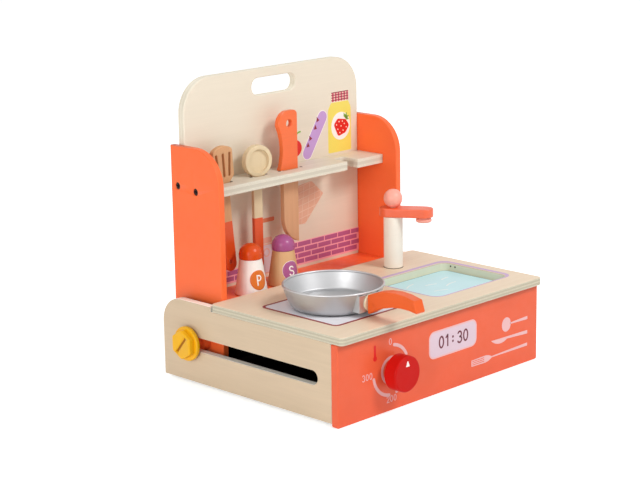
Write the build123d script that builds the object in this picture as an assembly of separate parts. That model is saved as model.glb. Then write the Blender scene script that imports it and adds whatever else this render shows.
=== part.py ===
"""Wooden table-top toy kitchen with a fold-away upper cabinet, in millimetres.

+X is to the right and -Y to the front, as a child in front of the toy sees it; +Z is up.
The origin is on the table, under the middle of the width and depth.

The base is a hollow box with an open back. The hutch (the upper cabinet) hangs on two
bolts that run in the slots of the base's side panels. With the yellow knobs slackened,
the hutch tips back about the bolts until it is level and then slides into the base.
"""
from build123d import *
import os
from math import sqrt

# ---------------------------------------------------------------- driving dimensions
# Outside sizes
WIDTH = 295.0
DEPTH = 250.0
HEIGHT = 300.0
WORKTOP_TOP = 88.3

# Board thicknesses
SIDE_PLY = 8.0
WORKTOP_PLY = 8.0
FRONT_PLY = 9.0
FLOOR_SHEET = 3.0
SINK_SHEET = 4.0
HUTCH_PLY = 7.2
BACK_PLY = 9.0
SHELF_PLY = 9.5

# Fits
SEAT_GAP = 0.2          # under a piece that only stands on another
TURN_GAP = 0.2          # beside a face that turns against another
BORE_PLAY = 0.05        # radial play of a pin in its bore

# Base
OVERHANG = 6.0          # worktop beyond the front panel
SIDE_INSET = 0.5        # side panels inside the worktop's ends
SIDE_LIFT = 3.0             # side panels: lower edges off the table
REAR_RISE = 4.7         # side panels higher behind the worktop than under it
SIDE_CORNER_R = 26.0
WORKTOP_CORNER_R = 5.0
FRONT_CORNER_R = 2.0
BOARD_EDGE_R = 1.0      # softened edges of the boards
SLOT_HEIGHT = 14.0
SLOT_MARGIN = 24.6      # front end of the bolt's travel to the front panel
PIVOT_Z = 43.0

# Sink
SINK_WIDTH = 111.5
SINK_DEPTH = 87.5
SINK_CORNER_R = 10.0
SINK_SIDE_MARGIN = 18.5     # to the worktop's right end
SINK_FRONT_MARGIN = 29.0    # to the worktop's front edge
SINK_LIP = 7.0              # sink sheet beyond the cut-out

# Joinery of the base
DOWEL_D = 5.0
DOWEL_LENGTH = 20.0
DOWEL_IN_FACE = 5.0         # depth in the board that it meets face on
WORKTOP_DOWELS = 3          # in each side panel's top edge
FRONT_DOWELS = 2            # in each side panel's front edge
BATTEN = 7.0                # square batten in each lower corner
FLOOR_SCREWS = 3            # into each batten
FLOOR_SCREW_D = 3.0
FLOOR_SCREW_HEAD_D = 5.6
FLOOR_SCREW_HEAD = 1.6
FLOOR_SCREW_LENGTH = 8.0

# Tap
TAP_FROM_RIGHT = 68.3
TAP_FROM_REAR = 35.2
POST_D = 20.0
POST_HEIGHT = 54.5
POST_TENON_D = 10.0
POST_TENON = 5.0
TAP_PIN_D = 6.0
TAP_PIN_IN_POST = 16.0
TAP_PIN_IN_BALL = 10.0
BALL_D = 19.6
BALL_FLAT = 0.4             # cut off the ball's underside
ARM_REACH = 32.2            # post axis to nozzle axis
ARM_TAIL = 14.5             # post axis to the arm's back end
ARM_NOSE = 10.0             # nozzle axis to the arm's front end
ARM_WIDTH = 20.0
ARM_HEIGHT = 9.0
ARM_AZIMUTH = -58.0
NOZZLE_D = 16.5
NOZZLE_HEIGHT = 5.6
NOZZLE_NECK_D = 13.0
NOZZLE_NECK = 1.4
NOZZLE_PEG_D = 6.0
NOZZLE_PEG = 5.0

# Oven dial
DIAL_FROM_LEFT = 72.2
DIAL_Z = 40.5
DIAL_D = 35.2
DIAL_THICK = 14.2
DIAL_EDGE_R = 1.6
DIAL_STANDOFF = 7.2
SPINDLE_D = 6.0
SPINDLE_IN_KNOB = 8.0
SPINDLE_COLLAR_D = 15.0
RETAINER_D = 18.0
RETAINER_THICK = 4.0

# Hutch
HUTCH_DEPTH = 70.0
REAR_MARGIN = 1.0           # hutch inside the side panels' rear edges
FOLD_GAP = 0.8              # hutch to the worktop's rear edge
FOLD_FLOOR_GAP = 0.6        # folded hutch over the floor sheet
LEG_PLAY = 0.6              # folded leg to the front panel when slid home
SIDE_TOP = 235.5
SIDE_SWEEP_R = 36.0
LEG_CORNER_R = 12.0
BACK_INSET = 4.7            # back panel inside the sides' rear edges
BACK_CORNER_R = 35.0
HANDLE_LENGTH = 62.0
HANDLE_HEIGHT = 17.8
HANDLE_DROP = 18.4          # top edge to the handle slot's middle
BAY_FLOOR_DROP = 7.8        # bay floor under the worktop's top
BAY_FLOOR_PLY = 8.0
BAY_FLOOR_SETBACK = 0.3
FOOTBOARD_PLY = 8.0
HEEL_PLAY = 0.3             # back panel's lower edge inside the circle that the legs' heels turn in
SHELF_RISE = 114.5          # bay floor to the shelf's top
SHELF_SETBACK = 19.0
SHELF_CORNER_R = 3.0
NOTCH_WIDTH = 15.5
NOTCH_DEPTH = 22.0
NOTCH_FROM_RIGHT = 46.5
NOTCH_CORNER_R = 3.0
SHELF_SLOT_DEPTH = 9.0
SHELF_SLOT_CORNER_R = 2.5
SHELF_SLOT_SETBACK = 19.3   # shelf's front edge to the slots' middle

# Hutch screws: counterbored pan heads
SCREW_D = 3.6
SHELF_SCREW_SETBACK = 15.6
SHELF_SCREW_DROP = 2.9      # screw's middle under the shelf's top
SCREW_LENGTH = 24.0
SCREW_HEAD_D = 7.0
SCREW_HEAD = 2.0
SCREW_SINK = 3.2            # depth of the counterbore
SCREW_SINK_D = 7.8
CROSS_WIDTH = 1.1
CROSS_LENGTH = 4.0
CROSS_DEPTH = 1.0

# Clamp bolts, bushes and knobs
BUSH_COLLAR_D = 24.0
BUSH_COLLAR = 8.0           # gap between the hutch and a base side
BUSH_PLAY = 0.2
BOLT_D = 6.0
BOLT_HEAD_D = 13.0
BOLT_HEAD = 3.0
BOLT_IN_KNOB = 6.0
KNOB_BOSS_D = 22.0
KNOB_BOSS = 3.2             # holds the flange off the side panel
KNOB_FLANGE_D = 35.0
KNOB_FLANGE = 3.6
KNOB_HEX = 26.0             # across flats
KNOB_HEX_R = 3.0
KNOB_HEAD = 6.2
KNOB_EDGE_R = 1.4
GROOVE_LENGTH = 21.0
GROOVE_WIDTH = 3.2
GROOVE_DEPTH = 2.2
GROOVE_ANGLE = 50.0
INSERT_D = 10.0
INSERT_LENGTH = 6.0

# Pan
PAN_FROM_LEFT = 74.7
PAN_FROM_FRONT = 82.9
PAN_RIM_R = 49.5
PAN_FOOT_R = 42.0
PAN_HEIGHT = 23.7
PAN_WALL = 1.2
PAN_FOOT_FILLET = 9.0
PAN_FLOOR = 5.8
PAN_FLOOR_FILLET = 1.6
PAN_UNDER_R = 30.0
PAN_BEAD_R = 1.1
PAN_AZIMUTH = -91.0
BRACKET_WIDTH = 30.0
BRACKET_HEIGHT = 16.4
BRACKET_Z = 4.6             # above the pan's foot
BRACKET_PROUD = 0.3         # front face beyond the rim
BRACKET_THICK = 1.2
TANG_THICK = 2.0
TANG_HEIGHT = 8.0
TANG_IN_HANDLE = 14.0
FERRULE_D = 17.0
FERRULE = 1.5
GRIP_LENGTH = 64.0
GRIP_SLOPE = 4.4            # lower end of the tip further out than its upper end
GRIP_THICK = 12.0
GRIP_ROOT_LOW = 1.8         # heights above the pan's foot
GRIP_ROOT_HIGH = 21.3
GRIP_MID_LOW = 14.6
GRIP_MID_HIGH = 29.3
GRIP_TIP_LOW = 13.8
GRIP_TIP_HIGH = 26.0
GRIP_EDGE_R = 1.5
GRIP_PIN_D = 3.2
GRIP_PIN_FROM_ROOT = 8.0

# Utensils
UTENSIL_THICK = 6.0
HANG_HOLE_D = 5.0
SPATULA_FROM_LEFT = 33.4
SPATULA_LEAN = 4.0
SPATULA_SLOT = 17.0
SPATULA_SEAT = 0.5          # lift that lets the cheeks meet the slot's ends
SPATULA_TOP = 37.0          # heights over and under the shelf's top
SPATULA_TOP_HALF = 13.0
SPATULA_CHEEK = 5.0
SPATULA_CHEEK_HALF = 13.2
SPATULA_NECK = -2.0
SPATULA_NECK_HALF = 5.7
SPATULA_GRIP = -40.0
SPATULA_END = -92.5
SPATULA_END_HALF = 7.2
SLIT_WIDTH = 2.6
SLIT_LENGTH = 24.5
SLIT_PITCH = 8.0
SLIT_FAN = 6.0
SPOON_FROM_LEFT = 80.3
SPOON_SLOT = 13.6
SPOON_SLOT_DEPTH = 11.0
SPOON_TURN = 10.0           # toward the left front
SPOON_BOWL_R = 16.3
SPOON_BOWL_THICK = 8.0
SPOON_DISH_R = 12.0
SPOON_DISH = 3.0
SPOON_DISH_CORNER = 0.25
SPOON_STICK = 10.6
SPOON_STICK_THICK = 5.0
SPOON_END = -97.5
SPOON_SEAT = 0.5            # lift that lets the bowl meet the slot's ends
KNIFE_FROM_LEFT = 125.3
KNIFE_SLOT = 22.6
KNIFE_TOP = 61.0
KNIFE_BACK = 10.5           # slot's middle to the straight back
KNIFE_BULGE = 16.5          # slot's middle to the left edge: top, waist, shelf, blade
KNIFE_WAIST = 10.7
KNIFE_HEEL = 14.9
KNIFE_EDGE = 10.5
KNIFE_BULGE_Z = 46.0
KNIFE_WAIST_Z = 26.0
KNIFE_BACK_R = 5.0
KNIFE_HOLE_D = 8.0
KNIFE_HOLE_X = -1.0
KNIFE_HOLE_Z = 47.7
BLADE_CURVE = -50.0         # where the cutting edge leaves the straight
BLADE_END = -78.0

# Shakers
SHAKER_FOOT_R = 17.0
SHAKER_NECK_R = 11.3
SHAKER_BODY = 36.0
CAP_R = 11.9
CAP_HEIGHT = 16.0
CAP_SKIRT = 5.0
CAP_SHOULDER_R = 8.5        # less than the dome's rise above the skirt
CAP_EDGE_R = 1.6
PEPPER_FROM_LEFT = 51.2
PEPPER_SETBACK = 20.0       # hutch front to the shaker's axis
SALT_FROM_LEFT = 99.0
SALT_SETBACK = 22.0

# ------------------------------------------------------------------ worked-out places
X_OUT = WIDTH / 2
Y_FRONT = -DEPTH / 2
Y_REAR = DEPTH / 2
SIDE_OUT = X_OUT - SIDE_INSET
SIDE_IN = SIDE_OUT - SIDE_PLY
SIDE_MID = SIDE_OUT - SIDE_PLY / 2
PANEL_FRONT = Y_FRONT + OVERHANG
PANEL_REAR = PANEL_FRONT + FRONT_PLY
WORKTOP_BOTTOM = WORKTOP_TOP - WORKTOP_PLY
HUTCH_REAR = Y_REAR - REAR_MARGIN
HUTCH_FRONT = HUTCH_REAR - HUTCH_DEPTH
WORKTOP_REAR = HUTCH_FRONT - FOLD_GAP
FOLD_R = PIVOT_Z - FLOOR_SHEET - FOLD_FLOOR_GAP
PIVOT_Y = HUTCH_REAR - FOLD_R
SLOT_FRONT = PANEL_REAR + SLOT_MARGIN
LEG_BOTTOM = PIVOT_Z - SLOT_MARGIN + LEG_PLAY
HUTCH_OUT = SIDE_IN - BUSH_COLLAR
HUTCH_IN = HUTCH_OUT - HUTCH_PLY
BACK_REAR = HUTCH_REAR - BACK_INSET
BACK_FRONT = BACK_REAR - BACK_PLY
BACK_BOTTOM = PIVOT_Z - sqrt(FOLD_R ** 2 - (BACK_REAR - PIVOT_Y) ** 2) + HEEL_PLAY
BAY_FLOOR_TOP = WORKTOP_TOP - BAY_FLOOR_DROP
BAY_FLOOR_BOTTOM = BAY_FLOOR_TOP - BAY_FLOOR_PLY
SHELF_TOP = BAY_FLOOR_TOP + SHELF_RISE
SHELF_FRONT = HUTCH_FRONT + SHELF_SETBACK
UTENSIL_Y = SHELF_FRONT + SHELF_SLOT_SETBACK
SPATULA_X = -HUTCH_IN + SPATULA_FROM_LEFT
SPOON_X = -HUTCH_IN + SPOON_FROM_LEFT
KNIFE_X = -HUTCH_IN + KNIFE_FROM_LEFT
NOTCH_X = HUTCH_IN - NOTCH_FROM_RIGHT
SINK_RIGHT = X_OUT - SINK_SIDE_MARGIN
SINK_X = SINK_RIGHT - SINK_WIDTH / 2
SINK_Y = Y_FRONT + SINK_FRONT_MARGIN + SINK_DEPTH / 2
TAP_X = X_OUT - TAP_FROM_RIGHT
TAP_Y = WORKTOP_REAR - TAP_FROM_REAR
ARM_BOTTOM = WORKTOP_TOP + POST_HEIGHT + TURN_GAP
BALL_BOTTOM = ARM_BOTTOM + ARM_HEIGHT + TURN_GAP
DIAL_X = -X_OUT + DIAL_FROM_LEFT
PAN_X = -X_OUT + PAN_FROM_LEFT
PAN_Y = Y_FRONT + PAN_FROM_FRONT
PAN_Z = WORKTOP_TOP + SEAT_GAP
BRACKET_FRONT = PAN_RIM_R + BRACKET_PROUD
GRIP_START = BRACKET_FRONT + FERRULE
KNOB_SEAT = SIDE_OUT + TURN_GAP + KNOB_BOSS
KNOB_FACE = KNOB_SEAT + KNOB_FLANGE + KNOB_HEAD


# --------------------------------------------------------------------------- helpers
def block(x0, x1, y0, y1, z0, z1):
    """A box between two corners."""
    return Pos((x0 + x1) / 2, (y0 + y1) / 2, (z0 + z1) / 2) * Box(x1 - x0, y1 - y0, z1 - z0)


def slab_xz(sketch, y0, y1):
    """A sketch drawn as seen from the front (X, Z), made solid from y0 to y1."""
    plane = Plane(origin=(0, y1, 0), x_dir=(1, 0, 0), z_dir=(0, -1, 0))
    return extrude(plane * sketch, amount=y1 - y0)


def slab_yz(sketch, x0, x1):
    """A sketch drawn in (Y, Z), made solid from x0 to x1."""
    plane = Plane(origin=(x0, 0, 0), x_dir=(0, 1, 0), z_dir=(1, 0, 0))
    return extrude(plane * sketch, amount=x1 - x0)


def slab_xy(sketch, z0, z1):
    """A sketch drawn as seen from above, made solid from z0 to z1."""
    return extrude(Plane.XY.offset(z0) * sketch, amount=z1 - z0)


def rod(start, end, diameter):
    """A round bar between two points."""
    start, end = Vector(*start), Vector(*end)
    run = end - start
    return extrude(Plane(origin=start, z_dir=run) * Circle(diameter / 2), amount=run.length)


def mirrored(part):
    """The right-hand twin of a left-hand piece."""
    return mirror(part, about=Plane.YZ)


def spaced(low, high, count):
    """Places evenly spaced between two ends, half a pitch in from each."""
    pitch = (high - low) / count
    return [low + (i + 0.5) * pitch for i in range(count)]


# ------------------------------------------------------------------------------ base
def worktop_dowel_places():
    """(x, y) of the upright dowels between the side panels and the worktop."""
    return [(sign * SIDE_MID, y) for sign in (-1, 1) for y in spaced(PANEL_REAR, WORKTOP_REAR, WORKTOP_DOWELS)]


def front_dowel_places():
    """(x, z) of the level dowels between the side panels and the front panel."""
    return [(sign * SIDE_MID, z) for sign in (-1, 1) for z in spaced(SIDE_LIFT, WORKTOP_BOTTOM, FRONT_DOWELS)]


def worktop_dowels():
    top = WORKTOP_BOTTOM + DOWEL_IN_FACE
    return Compound([rod((x, y, top - DOWEL_LENGTH), (x, y, top), DOWEL_D) for x, y in worktop_dowel_places()])


def front_dowels():
    front = PANEL_REAR - DOWEL_IN_FACE
    return Compound([rod((x, front, z), (x, front + DOWEL_LENGTH, z), DOWEL_D) for x, z in front_dowel_places()])


def floor_screw(x, y):
    """Countersunk screw up into a batten, its head flush under the floor sheet."""
    head = Cone(FLOOR_SCREW_HEAD_D / 2, FLOOR_SCREW_D / 2, FLOOR_SCREW_HEAD, align=(Align.CENTER, Align.CENTER, Align.MIN))
    return Pos(x, y, 0) * head + rod((x, y, 0), (x, y, FLOOR_SCREW_LENGTH), FLOOR_SCREW_D)


def floor_screws():
    places = [(sign * (SIDE_IN - BATTEN / 2), y) for sign in (-1, 1)
              for y in spaced(PANEL_REAR, HUTCH_REAR, FLOOR_SCREWS)]
    return Compound([floor_screw(x, y) for x, y in places])


def floor_batten_left():
    """Square batten glued in the corner of the side panel and the floor sheet."""
    batten = block(-SIDE_IN, -SIDE_IN + BATTEN, PANEL_REAR, HUTCH_REAR, FLOOR_SHEET, FLOOR_SHEET + BATTEN)
    return batten - floor_screws()


def floor_batten_right():
    return mirrored(floor_batten_left())


def base_side_left():
    """Side panel: low under the worktop, higher and round behind it, slotted for the bolt."""
    rear_top = WORKTOP_BOTTOM + REAR_RISE
    outline = Pos((PANEL_REAR + Y_REAR) / 2, (SIDE_LIFT + rear_top) / 2) * Rectangle(
        Y_REAR - PANEL_REAR, rear_top - SIDE_LIFT)
    outline -= Pos((PANEL_REAR + WORKTOP_REAR) / 2, (WORKTOP_BOTTOM + rear_top) / 2) * Rectangle(
        WORKTOP_REAR - PANEL_REAR, REAR_RISE)
    rear_corner = outline.vertices().sort_by(lambda v: v.X + v.Y)[-1]
    outline = fillet(rear_corner, SIDE_CORNER_R)
    slot = Pos((SLOT_FRONT + PIVOT_Y) / 2, PIVOT_Z) * SlotCenterToCenter(PIVOT_Y - SLOT_FRONT, SLOT_HEIGHT)
    side = slab_yz(outline - slot, -SIDE_OUT, -SIDE_IN)
    return side - worktop_dowels() - front_dowels()


def base_side_right():
    return mirrored(base_side_left())


def front_panel():
    outline = Pos(0, WORKTOP_BOTTOM / 2) * Rectangle(WIDTH, WORKTOP_BOTTOM)
    panel = slab_xz(outline, PANEL_FRONT, PANEL_REAR)
    upright = panel.edges().filter_by(Axis.Z).sort_by(Axis.Y)[:2]
    panel = fillet(upright, FRONT_CORNER_R)
    spindle_hole = rod((DIAL_X, PANEL_FRONT, DIAL_Z), (DIAL_X, PANEL_REAR, DIAL_Z), SPINDLE_D + 2 * BORE_PLAY)
    return panel - front_dowels() - spindle_hole


def worktop():
    outline = Pos(0, (Y_FRONT + WORKTOP_REAR) / 2) * RectangleRounded(
        WIDTH, WORKTOP_REAR - Y_FRONT, WORKTOP_CORNER_R)
    outline -= Pos(SINK_X, SINK_Y) * RectangleRounded(SINK_WIDTH, SINK_DEPTH, SINK_CORNER_R)
    board = slab_xy(outline, WORKTOP_BOTTOM, WORKTOP_TOP)
    top_edges = board.faces().sort_by(Axis.Z)[-1].outer_wire().edges()
    board = fillet(top_edges, BOARD_EDGE_R)
    socket = rod((TAP_X, TAP_Y, WORKTOP_TOP - POST_TENON), (TAP_X, TAP_Y, WORKTOP_TOP), POST_TENON_D)
    return board - worktop_dowels() - socket


def sink_board():
    """Thin sheet glued under the sink's cut-out: the sink's painted bottom."""
    outline = Pos(SINK_X, SINK_Y) * RectangleRounded(
        SINK_WIDTH + 2 * SINK_LIP, SINK_DEPTH + 2 * SINK_LIP, SINK_CORNER_R)
    return slab_xy(outline, WORKTOP_BOTTOM - SINK_SHEET, WORKTOP_BOTTOM)


def base_floor():
    return block(-SIDE_IN, SIDE_IN, PANEL_REAR, HUTCH_REAR, 0, FLOOR_SHEET) - floor_screws()


# ------------------------------------------------------------------------------- tap
def tap_pin():
    """Dowel on which the arm swivels; it holds the ball to the post."""
    low = WORKTOP_TOP + POST_HEIGHT - TAP_PIN_IN_POST
    high = BALL_BOTTOM + TAP_PIN_IN_BALL
    return rod((TAP_X, TAP_Y, low), (TAP_X, TAP_Y, high), TAP_PIN_D)


def tap_post():
    top = WORKTOP_TOP + POST_HEIGHT
    post = rod((TAP_X, TAP_Y, WORKTOP_TOP), (TAP_X, TAP_Y, top), POST_D)
    tenon = rod((TAP_X, TAP_Y, WORKTOP_TOP - POST_TENON), (TAP_X, TAP_Y, WORKTOP_TOP), POST_TENON_D)
    return post + tenon - tap_pin()


def tap_ball():
    centre = BALL_BOTTOM + BALL_D / 2 - BALL_FLAT
    ball = Pos(TAP_X, TAP_Y, centre) * Sphere(BALL_D / 2)
    cut = block(TAP_X - BALL_D, TAP_X + BALL_D, TAP_Y - BALL_D, TAP_Y + BALL_D, BALL_BOTTOM - BALL_D, BALL_BOTTOM)
    return ball - cut - tap_pin()


def on_tap_arm(part):
    """From the arm's own frame (post axis at 0, arm along +X) to the arm's rest direction."""
    return Pos(TAP_X, TAP_Y, 0) * Rot(0, 0, ARM_AZIMUTH) * part


def nozzle_peg():
    return rod((ARM_REACH, 0, ARM_BOTTOM), (ARM_REACH, 0, ARM_BOTTOM + NOZZLE_PEG), NOZZLE_PEG_D)


def tap_arm():
    length = ARM_TAIL + ARM_REACH + ARM_NOSE
    outline = Pos(length / 2 - ARM_TAIL, 0) * SlotOverall(length, ARM_WIDTH)
    arm = slab_xy(outline, ARM_BOTTOM, ARM_BOTTOM + ARM_HEIGHT)
    arm = fillet(arm.faces().sort_by(Axis.Z)[-1].edges(), BOARD_EDGE_R)
    bore = rod((0, 0, ARM_BOTTOM), (0, 0, ARM_BOTTOM + ARM_HEIGHT), TAP_PIN_D + 2 * BORE_PLAY)
    return on_tap_arm(arm - bore - nozzle_peg())


def tap_nozzle():
    low = ARM_BOTTOM - NOZZLE_HEIGHT
    neck = ARM_BOTTOM - NOZZLE_NECK
    disc = rod((ARM_REACH, 0, low), (ARM_REACH, 0, neck), NOZZLE_D)
    disc = fillet(disc.edges().filter_by(GeomType.CIRCLE), (NOZZLE_HEIGHT - NOZZLE_NECK) * 0.4)
    disc += rod((ARM_REACH, 0, neck), (ARM_REACH, 0, ARM_BOTTOM), NOZZLE_NECK_D)
    return on_tap_arm(disc + nozzle_peg())


# ------------------------------------------------------------------------------ dial
def dial_spindle():
    """Dowel through the front panel, with a collar that holds the dial off the panel."""
    collar_rear = PANEL_FRONT - TURN_GAP
    collar_front = PANEL_FRONT - DIAL_STANDOFF
    tail = PANEL_REAR + TURN_GAP + RETAINER_THICK
    spindle = rod((DIAL_X, collar_front - SPINDLE_IN_KNOB, DIAL_Z), (DIAL_X, tail, DIAL_Z), SPINDLE_D)
    return spindle + rod((DIAL_X, collar_front, DIAL_Z), (DIAL_X, collar_rear, DIAL_Z), SPINDLE_COLLAR_D)


def dial_knob():
    rear = PANEL_FRONT - DIAL_STANDOFF
    knob = rod((DIAL_X, rear - DIAL_THICK, DIAL_Z), (DIAL_X, rear, DIAL_Z), DIAL_D)
    knob = fillet(knob.edges().filter_by(GeomType.CIRCLE), DIAL_EDGE_R)
    return knob - dial_spindle()


def dial_retainer():
    """Wooden washer glued to the spindle's tail, inside the base."""
    front = PANEL_REAR + TURN_GAP
    washer = rod((DIAL_X, front, DIAL_Z), (DIAL_X, front + RETAINER_THICK, DIAL_Z), RETAINER_D)
    return washer - dial_spindle()


# ----------------------------------------------------------------------------- hutch
def hutch_screw(y, z):
    """Left-hand pan head screw along X, its head sunk in a counterbore."""
    seat = -HUTCH_OUT + SCREW_SINK
    screw = rod((seat, y, z), (seat + SCREW_LENGTH, y, z), SCREW_D)
    screw += rod((seat - SCREW_HEAD, y, z), (seat, y, z), SCREW_HEAD_D)
    front = seat - SCREW_HEAD
    for long_y, long_z in ((CROSS_LENGTH, CROSS_WIDTH), (CROSS_WIDTH, CROSS_LENGTH)):
        screw -= block(front, front + CROSS_DEPTH, y - long_y / 2, y + long_y / 2, z - long_z / 2, z + long_z / 2)
    return screw


def hutch_screw_places():
    """(y, z) of the screws into the back panel, the shelf and the bay floor."""
    return [
        ((BACK_FRONT + BACK_REAR) / 2, SHELF_TOP),
        (SHELF_FRONT + SHELF_SCREW_SETBACK, SHELF_TOP - SHELF_SCREW_DROP),
        ((BACK_FRONT + BACK_REAR) / 2, (BAY_FLOOR_TOP + BAY_FLOOR_BOTTOM) / 2),
        ((HUTCH_FRONT + BACK_FRONT) / 2 + SHELF_SLOT_DEPTH, (BAY_FLOOR_TOP + BAY_FLOOR_BOTTOM) / 2),
    ]


def screw_holes():
    """Left-hand counterbores and pilot holes."""
    holes = []
    for y, z in hutch_screw_places():
        seat = -HUTCH_OUT + SCREW_SINK
        holes.append(rod((-HUTCH_OUT, y, z), (seat, y, z), SCREW_SINK_D))
        holes.append(rod((seat, y, z), (seat + SCREW_LENGTH, y, z), SCREW_D))
    return holes


def hutch_screws_left():
    return Compound([hutch_screw(y, z) for y, z in hutch_screw_places()])


def hutch_screws_right():
    return mirrored(hutch_screws_left())


def hutch_side_left():
    """Side of the hutch: swept front top, and a leg that is round about the bolt behind."""
    sweep_y = HUTCH_FRONT + SIDE_SWEEP_R
    sweep_z = SIDE_TOP - SIDE_SWEEP_R
    heel_y = PIVOT_Y + sqrt(FOLD_R ** 2 - (PIVOT_Z - LEG_BOTTOM) ** 2)
    heel_mid = Vector(heel_y - PIVOT_Y + FOLD_R, LEG_BOTTOM - PIVOT_Z).normalized() * FOLD_R
    edges = [
        Line((HUTCH_REAR, PIVOT_Z), (HUTCH_REAR, SIDE_TOP)),
        Line((HUTCH_REAR, SIDE_TOP), (sweep_y, SIDE_TOP)),
        CenterArc((sweep_y, sweep_z), SIDE_SWEEP_R, 90, 90),
        Line((HUTCH_FRONT, sweep_z), (HUTCH_FRONT, LEG_BOTTOM + LEG_CORNER_R)),
        CenterArc((HUTCH_FRONT + LEG_CORNER_R, LEG_BOTTOM + LEG_CORNER_R), LEG_CORNER_R, 180, 90),
        Line((HUTCH_FRONT + LEG_CORNER_R, LEG_BOTTOM), (heel_y, LEG_BOTTOM)),
        ThreePointArc((heel_y, LEG_BOTTOM), (PIVOT_Y + heel_mid.X, PIVOT_Z + heel_mid.Y), (HUTCH_REAR, PIVOT_Z)),
    ]
    side = slab_yz(make_face(edges), -HUTCH_OUT, -HUTCH_IN)
    bolt_hole = rod((-HUTCH_OUT, PIVOT_Y, PIVOT_Z), (-HUTCH_IN, PIVOT_Y, PIVOT_Z), BOLT_D)
    side -= bolt_hole
    for hole in screw_holes():
        side -= hole
    return side


def hutch_side_right():
    return mirrored(hutch_side_left())


def without_screws(part):
    """A board between the sides, with the pilot holes from both ends."""
    for hole in screw_holes():
        part = part - hole - mirrored(hole)
    return part


def hutch_back():
    """Back panel with the carrying slot near its top; it runs down between the legs."""
    height = HEIGHT - BACK_BOTTOM
    outline = Pos(0, BACK_BOTTOM + height / 2) * Rectangle(2 * HUTCH_IN, height)
    outline = fillet(outline.vertices().group_by(Axis.Y)[-1], BACK_CORNER_R)
    outline -= Pos(0, HEIGHT - HANDLE_DROP) * SlotOverall(HANDLE_LENGTH, HANDLE_HEIGHT)
    return without_screws(slab_xz(outline, BACK_FRONT, BACK_REAR))


def hutch_floor():
    front = HUTCH_FRONT + BAY_FLOOR_SETBACK
    return without_screws(block(-HUTCH_IN, HUTCH_IN, front, BACK_FRONT, BAY_FLOOR_BOTTOM, BAY_FLOOR_TOP))


def hutch_footboard():
    """Lower board between the legs; it closes the hutch under the bay."""
    front = HUTCH_FRONT + LEG_CORNER_R
    return block(-HUTCH_IN, HUTCH_IN, front, BACK_FRONT, LEG_BOTTOM, LEG_BOTTOM + FOOTBOARD_PLY)


def hutch_shelf():
    """Shelf with three closed slots for utensils and an open notch at the right."""
    outline = Pos(0, (SHELF_FRONT + BACK_FRONT) / 2) * Rectangle(2 * HUTCH_IN, BACK_FRONT - SHELF_FRONT)
    slots = (
        (SPATULA_X, SPATULA_SLOT, SHELF_SLOT_DEPTH),
        (SPOON_X, SPOON_SLOT, SPOON_SLOT_DEPTH),
        (KNIFE_X, KNIFE_SLOT, SHELF_SLOT_DEPTH),
    )
    for x, width, depth in slots:
        outline -= Pos(x, UTENSIL_Y) * RectangleRounded(width, depth, SHELF_SLOT_CORNER_R)
    notch_rear = SHELF_FRONT + NOTCH_DEPTH
    outline -= Pos(NOTCH_X, notch_rear - NOTCH_DEPTH) * RectangleRounded(NOTCH_WIDTH, 2 * NOTCH_DEPTH, NOTCH_CORNER_R)
    front_corners = outline.vertices().group_by(Axis.Y)[0].sort_by(Axis.X)[1:3]
    outline = fillet(front_corners, NOTCH_CORNER_R * 0.5)
    return without_screws(slab_xy(outline, SHELF_TOP - SHELF_PLY, SHELF_TOP))


# ------------------------------------------------------------------------ clamp gear
def clamp_bolt_left():
    """Bolt fixed in the hutch side; its tip is in the knob's insert."""
    tip = -(KNOB_SEAT + BOLT_IN_KNOB)
    bolt = rod((tip, PIVOT_Y, PIVOT_Z), (-HUTCH_IN, PIVOT_Y, PIVOT_Z), BOLT_D)
    head = rod((-HUTCH_IN, PIVOT_Y, PIVOT_Z), (-HUTCH_IN + BOLT_HEAD, PIVOT_Y, PIVOT_Z), BOLT_HEAD_D)
    head = fillet(head.edges().sort_by(Axis.X)[-1], BOLT_HEAD * 0.6)
    return bolt + head


def clamp_bolt_right():
    return mirrored(clamp_bolt_left())


def slide_bush_left():
    """Bush on the bolt: a collar between the panels and a sleeve that rides in the slot."""
    shoulder = -(SIDE_IN - TURN_GAP)
    collar = rod((-HUTCH_OUT, PIVOT_Y, PIVOT_Z), (shoulder, PIVOT_Y, PIVOT_Z), BUSH_COLLAR_D)
    sleeve = rod((shoulder, PIVOT_Y, PIVOT_Z), (-SIDE_OUT, PIVOT_Y, PIVOT_Z), SLOT_HEIGHT - 2 * BUSH_PLAY)
    bore = rod((-SIDE_OUT, PIVOT_Y, PIVOT_Z), (-HUTCH_OUT, PIVOT_Y, PIVOT_Z), BOLT_D)
    return collar + sleeve - bore


def slide_bush_right():
    return mirrored(slide_bush_left())


def knob_insert_left():
    """Threaded steel insert moulded into the knob."""
    inner = -KNOB_SEAT
    insert = rod((inner, PIVOT_Y, PIVOT_Z), (inner - INSERT_LENGTH, PIVOT_Y, PIVOT_Z), INSERT_D)
    bore = rod((inner, PIVOT_Y, PIVOT_Z), (inner - INSERT_LENGTH, PIVOT_Y, PIVOT_Z), BOLT_D + 2 * BORE_PLAY)
    return insert - bore


def knob_insert_right():
    return mirrored(knob_insert_left())


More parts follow.
